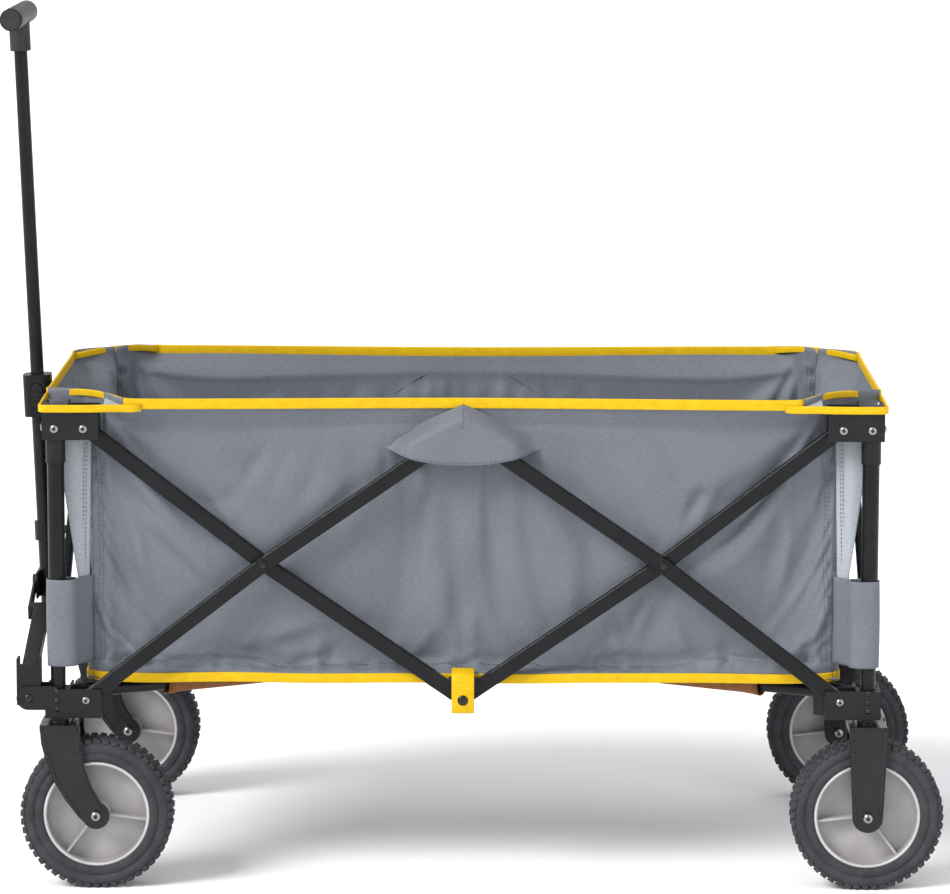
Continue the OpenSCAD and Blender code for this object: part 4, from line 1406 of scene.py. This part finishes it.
@dataclass
class CornerCloth:
    """The cloth at a post: the wing under the bracket, the sleeve round the post, and the rim's pocket."""

    corner: Corner
    tub: Tub
    sleeve_low: float = 264.0
    sleeve_high: float = 367.0
    wing_top: float = 531.0
    wing_foot: float = 362.0

    def wing(self) -> bpy.types.Object:
        """The pale triangle that joins the tub's edge to the post under the top bracket."""
        rows, columns = 26, 9
        grid = np.zeros((rows, columns, 3))
        for i in range(rows):
            t = i / (rows - 1)
            z = self.wing_top - t * (self.wing_top - self.wing_foot)
            left = 1.5 + 22.5 * t ** 1.15
            right = 40.0 - 4.0 * t
            for j in range(columns):
                u = j / (columns - 1)
                x = left + (right - left) * u
                y = 13.2 + 9.5 * u ** 1.6 + 1.2 * math.sin(3.0 * math.pi * u + 2.4 * t) * (1 - t) * (1 - u)
                grid[i, j] = self.corner.at(x, y, z)
        return cloth_sheet(f"corner_wing_{self.corner.tag}", grid, SILVER, 0.8,
                           flip=self.corner.sx * self.corner.sy > 0)

    def sleeve(self) -> bpy.types.Object:
        """The flattened sleeve of cloth that slides on the post."""
        rows, columns = 20, 40
        verts, uv = [], []
        for i in range(rows):
            t = i / (rows - 1)
            z = self.sleeve_low + (self.sleeve_high - self.sleeve_low) * t
            for j in range(columns):
                turn = 2 * math.pi * j / columns
                wave = 0.5 * math.sin(2 * turn + 2.6 * t + self.corner.sx)
                x = 17.4 * math.copysign(abs(math.cos(turn)) ** 0.82,
                                         math.cos(turn)) + wave * 0.5 - 0.8 * math.sin(math.pi * t)
                y = (12.4 + wave) * math.copysign(abs(math.sin(turn)) ** 0.9, math.sin(turn))
                lean = 5.5 + (1.6 * t if x > 0 else 0.0)
                verts.append(self.corner.at(x + lean, y, z))
                uv.append((0.0145 * turn, z * MM))
        faces = grid_faces(rows, columns, around=True, flip=self.corner.sx * self.corner.sy < 0)
        piece = new_object(f"post_sleeve_{self.corner.tag}", verts, faces, SLATE, uv)
        smooth = piece.modifiers.new("smooth", "SUBSURF")
        smooth.levels = smooth.render_levels = 1
        solid = piece.modifiers.new("thick", "SOLIDIFY")
        solid.thickness = 0.9 * MM
        solid.offset = 0
        return settle(piece)

    def web(self) -> bpy.types.Object:
        """The narrow strip that ties the sleeve to the tub's corner seam."""
        rows, columns = 14, 5
        grid = np.zeros((rows, columns, 3))
        for i in range(rows):
            t = i / (rows - 1)
            z = self.sleeve_low + (self.sleeve_high - self.sleeve_low) * t
            for j in range(columns):
                u = j / (columns - 1)
                grid[i, j] = self.corner.at(21.6 + 18.5 * u, 2.0 + 22.5 * u + 1.2 * math.sin(math.pi * u), z)
        return cloth_sheet(f"sleeve_web_{self.corner.tag}", grid, SLATE, 0.8,
                           flip=self.corner.sx * self.corner.sy < 0)

    def gusset(self, outer: np.ndarray, inner: np.ndarray) -> bpy.types.Object:
        """The pale triangle that closes the narrow end of the rim's pocket, between its two bands' lines."""
        signs = np.array([self.corner.sx, self.corner.sy, 1]) / MM
        near, far = ((line - np.array(self.corner.axis)) * signs for line in (outer[:6], inner))
        grid = np.zeros((8, 6, 3))
        for i, x in enumerate(np.linspace(83, 57, 8)):
            start = [np.interp(x, near[::-1, 0], near[::-1, k]) for k in (1, 2)]
            end = [np.interp(x, far[::-1, 0], far[::-1, k]) for k in (1, 2)]
            for j, u in enumerate(np.linspace(0.03, 0.97, 6)):
                y = start[0] * (1 - u) + end[0] * u
                z = (start[1] + 2.0) * (1 - u) + (end[1] - 1.5) * u - 1.2 * math.sin(math.pi * u)
                grid[i, j] = self.corner.at(x, y, z)
        return cloth_sheet(f"rim_gusset_{self.corner.tag}", grid, SILVER, 0.7,
                           flip=self.corner.sx * self.corner.sy > 0)

    def build(self) -> None:
        """Make the corner's cloth and its two bands."""
        tag, tub = self.corner.tag, self.tub
        outer, inner = tub.corner_paths(self.corner)
        outer_band = sweep(f"corner_band_{tag}", outer, rounded_bar(2.8, 9.0), (0, 0, 1), YELLOW)
        inner_band = sweep(f"pocket_band_{tag}", inner, rounded_bar(2.6, 8.0), (0, 0, 1), YELLOW)
        wing, sleeve, web = self.wing(), self.sleeve(), self.web()
        gusset = self.gusset(outer, inner)
        steps = np.linspace(0, 1, 24)
        first = [self.corner.at(32.4 - 4.2 * t, 17.6 + 0.6 * t, self.wing_top - 2 - 150 * t) for t in steps]
        second = [p + Vector((self.corner.sx * 3.2 * MM, 0, 0)) for p in first]
        line = [self.corner.at(14.5, -9.6, z)
                for z in np.linspace(self.sleeve_low + 3, self.sleeve_high - 3, 20)]
        seams = stitch_line(f"wing_seams_{tag}", [np.array(first), np.array(second), np.array(line)])
        pieces = (outer_band, inner_band, wing, sleeve, web, gusset, seams)
        for piece in pieces:
            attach(piece, self.corner.top)


@dataclass
class Patch:
    """The reinforcing flap at the middle of a side, over the arms' upper hub."""

    side: Side
    tub: Tub
    half: float = 94.0
    apex_z: float = 573.0
    tip_z: float = 521.0
    low_z: float = 504.0

    def surface(self) -> np.ndarray:
        """The flap's points: rows from its two upper edges down to its lower edge."""
        rows, columns = 16, 45
        sign = -1 if self.side is Side.LEFT else 1
        middle = (self.tub.length / 2) * MM + self.tub.origin.x
        wall = self.tub.origin.y if self.side is Side.LEFT else self.tub.origin.y + self.tub.width * MM
        grid = np.zeros((rows, columns, 3))
        for j in range(columns):
            u = 2 * j / (columns - 1) - 1
            upper = self.tip_z + (self.apex_z - self.tip_z) * (1 - abs(u) ** 1.08) + 2.5 * math.sin(math.pi
                                                                                                    * abs(u))
            lower = self.low_z + (self.tip_z - self.low_z) * abs(u) ** 2.0
            for i in range(rows):
                t = i / (rows - 1)
                z = upper + (lower - upper) * t
                below = (upper - z) / 15.0
                bulge = smoothstep(below) * (1 - smoothstep((abs(u) - 0.6) / 0.4))
                top = smoothstep((z - 545) / 26) * 10
                ripple = 0.9 * math.sin(8 * u + 2 * t) * t * (1 - abs(u))
                inward = 14.5 - top - (30.5 - top) * bulge + ripple
                grid[i, j] = (middle + u * self.half * MM, wall - sign * inward * MM, z * MM)
        return grid

    def build(self) -> None:
        """Make the flap and its stitching."""
        which = self.side.value
        grid = self.surface()
        flap = cloth_sheet(f"centre_flap_{which}", grid, SLATE, 0.9, flip=self.side is Side.LEFT)
        out = np.array([0, -1 if self.side is Side.LEFT else 1, 0]) * 0.9 * MM
        top = grid[1] * 0.8 + grid[0] * 0.2 + out
        low = grid[-2] * 0.7 + grid[-1] * 0.3 + out
        dart = grid[:6, grid.shape[1] // 2] + out
        seams = stitch_line(f"flap_seams_{which}", [top[2:-2], low[2:-2], dart])
        for piece in (flap, seams):
            self.tub.squash(piece, which, share=0.6)


@dataclass
class Floor:
    """The tub's cloth floor, in four quarters that lift with the floor arms, and the channels under it."""

    tub: Tub
    inset: float = 1.0
    azimuth: float = 26.2
    channel_from: float = 135.0
    channel_to: float = 372.0

    def quarter(self, corner: Corner) -> bpy.types.Object:
        """One quarter of the floor, sagging a little between the arms."""
        tub = self.tub
        long_half, wide_half = tub.length / 2 + 1.0, tub.width / 2 + 1.0
        x0, y0 = tub.wall_x + self.inset, tub.wall_y + self.inset
        rows, columns = 26, 52
        grid = np.zeros((rows, columns, 3))
        waves = noise_field((rows, columns), (4, 7), SEED + 11)
        slope = math.tan(math.radians(self.azimuth))
        for i in range(rows):
            for j in range(columns):
                x = x0 + (long_half - x0) * j / (columns - 1)
                y = y0 + (wide_half - y0) * i / (rows - 1)
                off = abs(y - x * slope) * math.cos(math.radians(self.azimuth))
                edge = min(x - x0, y - y0, 30.0) / 30.0
                sag = 3.2 * smoothstep(off / 70.0) * edge
                z = tub.floor_z + 0.8 - sag + 0.9 * waves[i, j] * edge
                grid[i, j] = corner.at(x, y, z)
        return cloth_sheet(f"floor_cloth_{corner.tag}", grid, SLATE, 1.2, flip=corner.sx * corner.sy < 0)

    def channel(self, corner: Corner) -> bpy.types.Object:
        """The ribbed webbing channel that holds a floor arm."""
        body = f"floor_arm_{corner.end.value}_{corner.side.value}"
        turn = math.radians(self.azimuth)
        rows, columns = 22, 28
        verts, uv = [], []
        for i in range(rows):
            t = i / (rows - 1)
            run = self.channel_from + (self.channel_to - self.channel_from) * t
            for j in range(columns):
                round_ = 2 * math.pi * j / columns
                wide = (12.5 - 1.5 * t) * math.copysign(abs(math.cos(round_)) ** 0.8, math.cos(round_))
                high = (10.6 - 1.2 * t) * math.copysign(abs(math.sin(round_)) ** 0.8, math.sin(round_))
                lip = 2.2 * max(0.0, 1 - t * 14) * (1 if high < 0 else 0)
                x = run * math.cos(turn) - wide * math.sin(turn)
                y = run * math.sin(turn) + wide * math.cos(turn)
                verts.append(corner.at(x, y, 231.0 + high - lip))
                uv.append((run * MM, 0.012 * round_))
        faces = grid_faces(rows, columns, around=True, flip=corner.sx * corner.sy > 0)
        # the channel is yellow webbing, drawn dark orange-brown as painted shade for the underside
        piece = new_object(f"arm_channel_{corner.tag}", verts, faces, SHADED_YELLOW_WEBBING, uv)
        solid = piece.modifiers.new("thick", "SOLIDIFY")
        solid.thickness = 1.3 * MM
        solid.offset = -1
        settle(piece)
        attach(piece, body)
        return piece

    def build(self) -> None:
        """Make the floor and its channels."""
        for corner in CORNERS:
            piece = self.quarter(corner)
            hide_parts("tub_floor")
            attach(piece, f"floor_arm_{corner.end.value}_{corner.side.value}")
            tuple(corner.at(0, 0, self.tub.floor_z))
            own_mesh(piece)
            self.channel(corner)


@dataclass
class HemTab:
    """The yellow webbing tab that ties the lower hem to a side's lower hub, with its bar and screw."""

    side: Side
    tub: Tub
    width: float = 26.5
    high_z: float = 258.0
    low_z: float = 209.0
    bar_half: float = 17.0
    bar_z: float = 245.5
    screw_z: float = 223.5

    def build(self) -> None:
        """Make the tab, the bar it passes over, and the screw."""
        which = self.side.value
        body = f"hem_hub_{which}"
        low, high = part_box(body)
        sign = -1 if self.side is Side.LEFT else 1
        face = (low.y if sign < 0 else high.y) + sign * 0.0012
        x = (low.x + high.x) / 2
        wall = (self.tub.origin.y if sign < 0 else self.tub.origin.y + self.tub.width * MM) - sign * 0.0125
        path = np.array([
            (x, wall - sign * 0.0015, self.high_z * MM),
            (x, wall + sign * 0.0075, (self.high_z - 1.5) * MM),
            (x, face - sign * 0.0035, (self.high_z - 4) * MM),
            (x, face - sign * 0.0006, (self.high_z - 9) * MM),
            (x, face, 240 * MM),
            (x, face, 226 * MM),
            (x, face, 214 * MM),
            (x, face - sign * 0.0018, (self.low_z - 0.5) * MM),
            (x, face - sign * 0.006, (self.low_z - 1.5) * MM),
        ])
        fine = np.array([np.interp(np.linspace(0, 8, 33), range(9), path[:, k]) for k in range(3)]).T
        tangents = np.gradient(fine, axis=0)
        ups = np.cross(tangents, (1.0, 0.0, 0.0))
        tab = sweep(f"hem_tab_{which}", fine, rounded_bar(self.width, 1.7, 0.45, 2), ups, YELLOW)
        rod = np.array([(x + way * self.bar_half * MM, face - sign * 0.0035, self.bar_z * MM)
                        for way in (-1, 1)])
        bar = sweep(f"hem_bar_{which}", rod, rounded_bar(4.0, 11.0, 0.4, 4), (0, 0, 1), NYLON)
        for piece in (tab, bar):
            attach(piece, body)
        screw = [(Vector((x, face + sign * 0.0006, self.screw_z * MM)), (0, sign, 0))]
        screw_heads(f"hem_screw_{which}", screw, body, "black", 6.4, 2.6)


@dataclass
class Handle:
    """Small fittings of the pull handle: pivot screws and the lock button's ribs."""

    nose_y: float = -14.6
    hinge_x: float = -34.0
    hinge_z: float = 226.5

    def build(self) -> None:
        """Set the hinge screws, and the raised chevrons on the lock button."""
        for tag in ("fl", "fr"):
            corner = BY_TAG[tag]
            places = [(corner.at(self.hinge_x, self.nose_y, self.hinge_z), corner.facing(0, -1))]
            screw_heads(f"hinge_screw_{tag}", places, corner.base, "black", 5.0, 2.4)
        low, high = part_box("lock_button")
        x, z = (low.x + high.x) / 2, (low.z + high.z) / 2
        parts = []
        for k, dz in enumerate((-5.5, 0.0, 5.5)):
            path = np.array([(x + dx * MM, low.y, z + (dz + rise) * MM) for dx,
                             rise in ((-4.6, -1.8), (0, 1.8), (4.6, -1.8))])
            parts.append(sweep(f"chevron_{k}", path, rounded_bar(1.3, 1.3, 0.45, 2), (0, 1, 0), NYLON))
        ribs = joined("lock_button_ribs", parts)
        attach(ribs, "lock_button")


@dataclass
class Studio:
    """A pale floor, soft even light and the camera."""

    eye: tuple[float, float, float] = (0.0352, -5.4875, 1.3313)
    yaw: float = -0.0055
    pitch: float = 0.1525
    roll: float = -0.0017
    lens: float = 172.838
    sensor: float = 36.0

    def build(self) -> None:
        """Set the floor, the lights and the camera."""
        floor = new_object("studio_floor", [(-40, -40, 0), (40, -40, 0), (40, 40, 0), (-40, 40, 0)],
                           [(0, 1, 2, 3)],
                           Finish("matt_white_paper", "#fbfbfb", 0.95))
        world = bpy.data.worlds.new("studio")
        bpy.context.scene.world = world
        bpy.context.scene.view_settings.view_transform = "Standard"
        world.use_nodes = True
        sky = world.node_tree.nodes["Background"]
        sky.inputs[0].default_value = linear("#f7f8fa")
        sky.inputs[1].default_value = 0.92
        key = bpy.data.lights.new("key", "SUN")
        key.energy = 2.9
        key.angle = math.radians(24)
        sun = bpy.data.objects.new("key", key)
        sun.rotation_euler = Vector((0.62, 0.5, -0.66)).to_track_quat("-Z", "Y").to_euler()
        bpy.context.scene.collection.objects.link(sun)
        self.lamp("fill", (2.8, -2.6, 1.6), (0.1, 0, 0.4), 1.8, 16)
        camera = bpy.data.objects.new("camera", bpy.data.cameras.new("camera"))
        bpy.context.scene.collection.objects.link(camera)
        camera.data.sensor_width = self.sensor
        camera.data.lens = self.lens
        camera.data.clip_end = 100
        camera.location = self.eye
        heading, tilt = Matrix.Rotation(-self.yaw, 3, "Z"), Matrix.Rotation(math.pi / 2 - self.pitch, 3, "X")
        camera.rotation_euler = (heading @ tilt @ Matrix.Rotation(-self.roll, 3, "Z")).to_euler()
        bpy.context.scene.camera = camera

    def lamp(self, name: str, place: Sequence[float], aim: Sequence[float], size: float,
             power: float) -> None:
        """Add one soft square lamp.

        Args:
            name: its name.
            place: where it stands.
            aim: the point it faces.
            size: its side in metres.
            power: its watts.
        """
        data = bpy.data.lights.new(name, "AREA")
        data.size = size
        data.energy = power
        made = bpy.data.objects.new(name, data)
        made.location = place
        made.rotation_euler = (Vector(aim) - Vector(place)).to_track_quat("-Z", "Y").to_euler()
        bpy.context.scene.collection.objects.link(made)


def main() -> None:
    """Build the wagon, part by part."""
    logging.basicConfig(level=logging.INFO, format="%(name)s: %(message)s")
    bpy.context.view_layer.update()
    Studio().build()
    frame_parts = Frame()
    frame_parts.dress()
    frame_parts.fasten()
    LOG.info("frame dressed and fastened")
    for corner in CORNERS:
        Wheel(corner).build()
        ForkRolls(corner).build()
        LOG.info("wheel %s", corner.tag)
    tub = Tub()
    tub.build()
    LOG.info("tub walls, bands and seams")
    for corner in CORNERS:
        CornerCloth(corner, tub).build()
    for side in Side:
        Patch(side, tub).build()
        HemTab(side, tub).build()
    Floor(tub).build()
    LOG.info("corner cloth, flaps, tabs and floor")
    Handle().build()
    LOG.info("handle fittings")


if __name__ == "__main__":
    main()
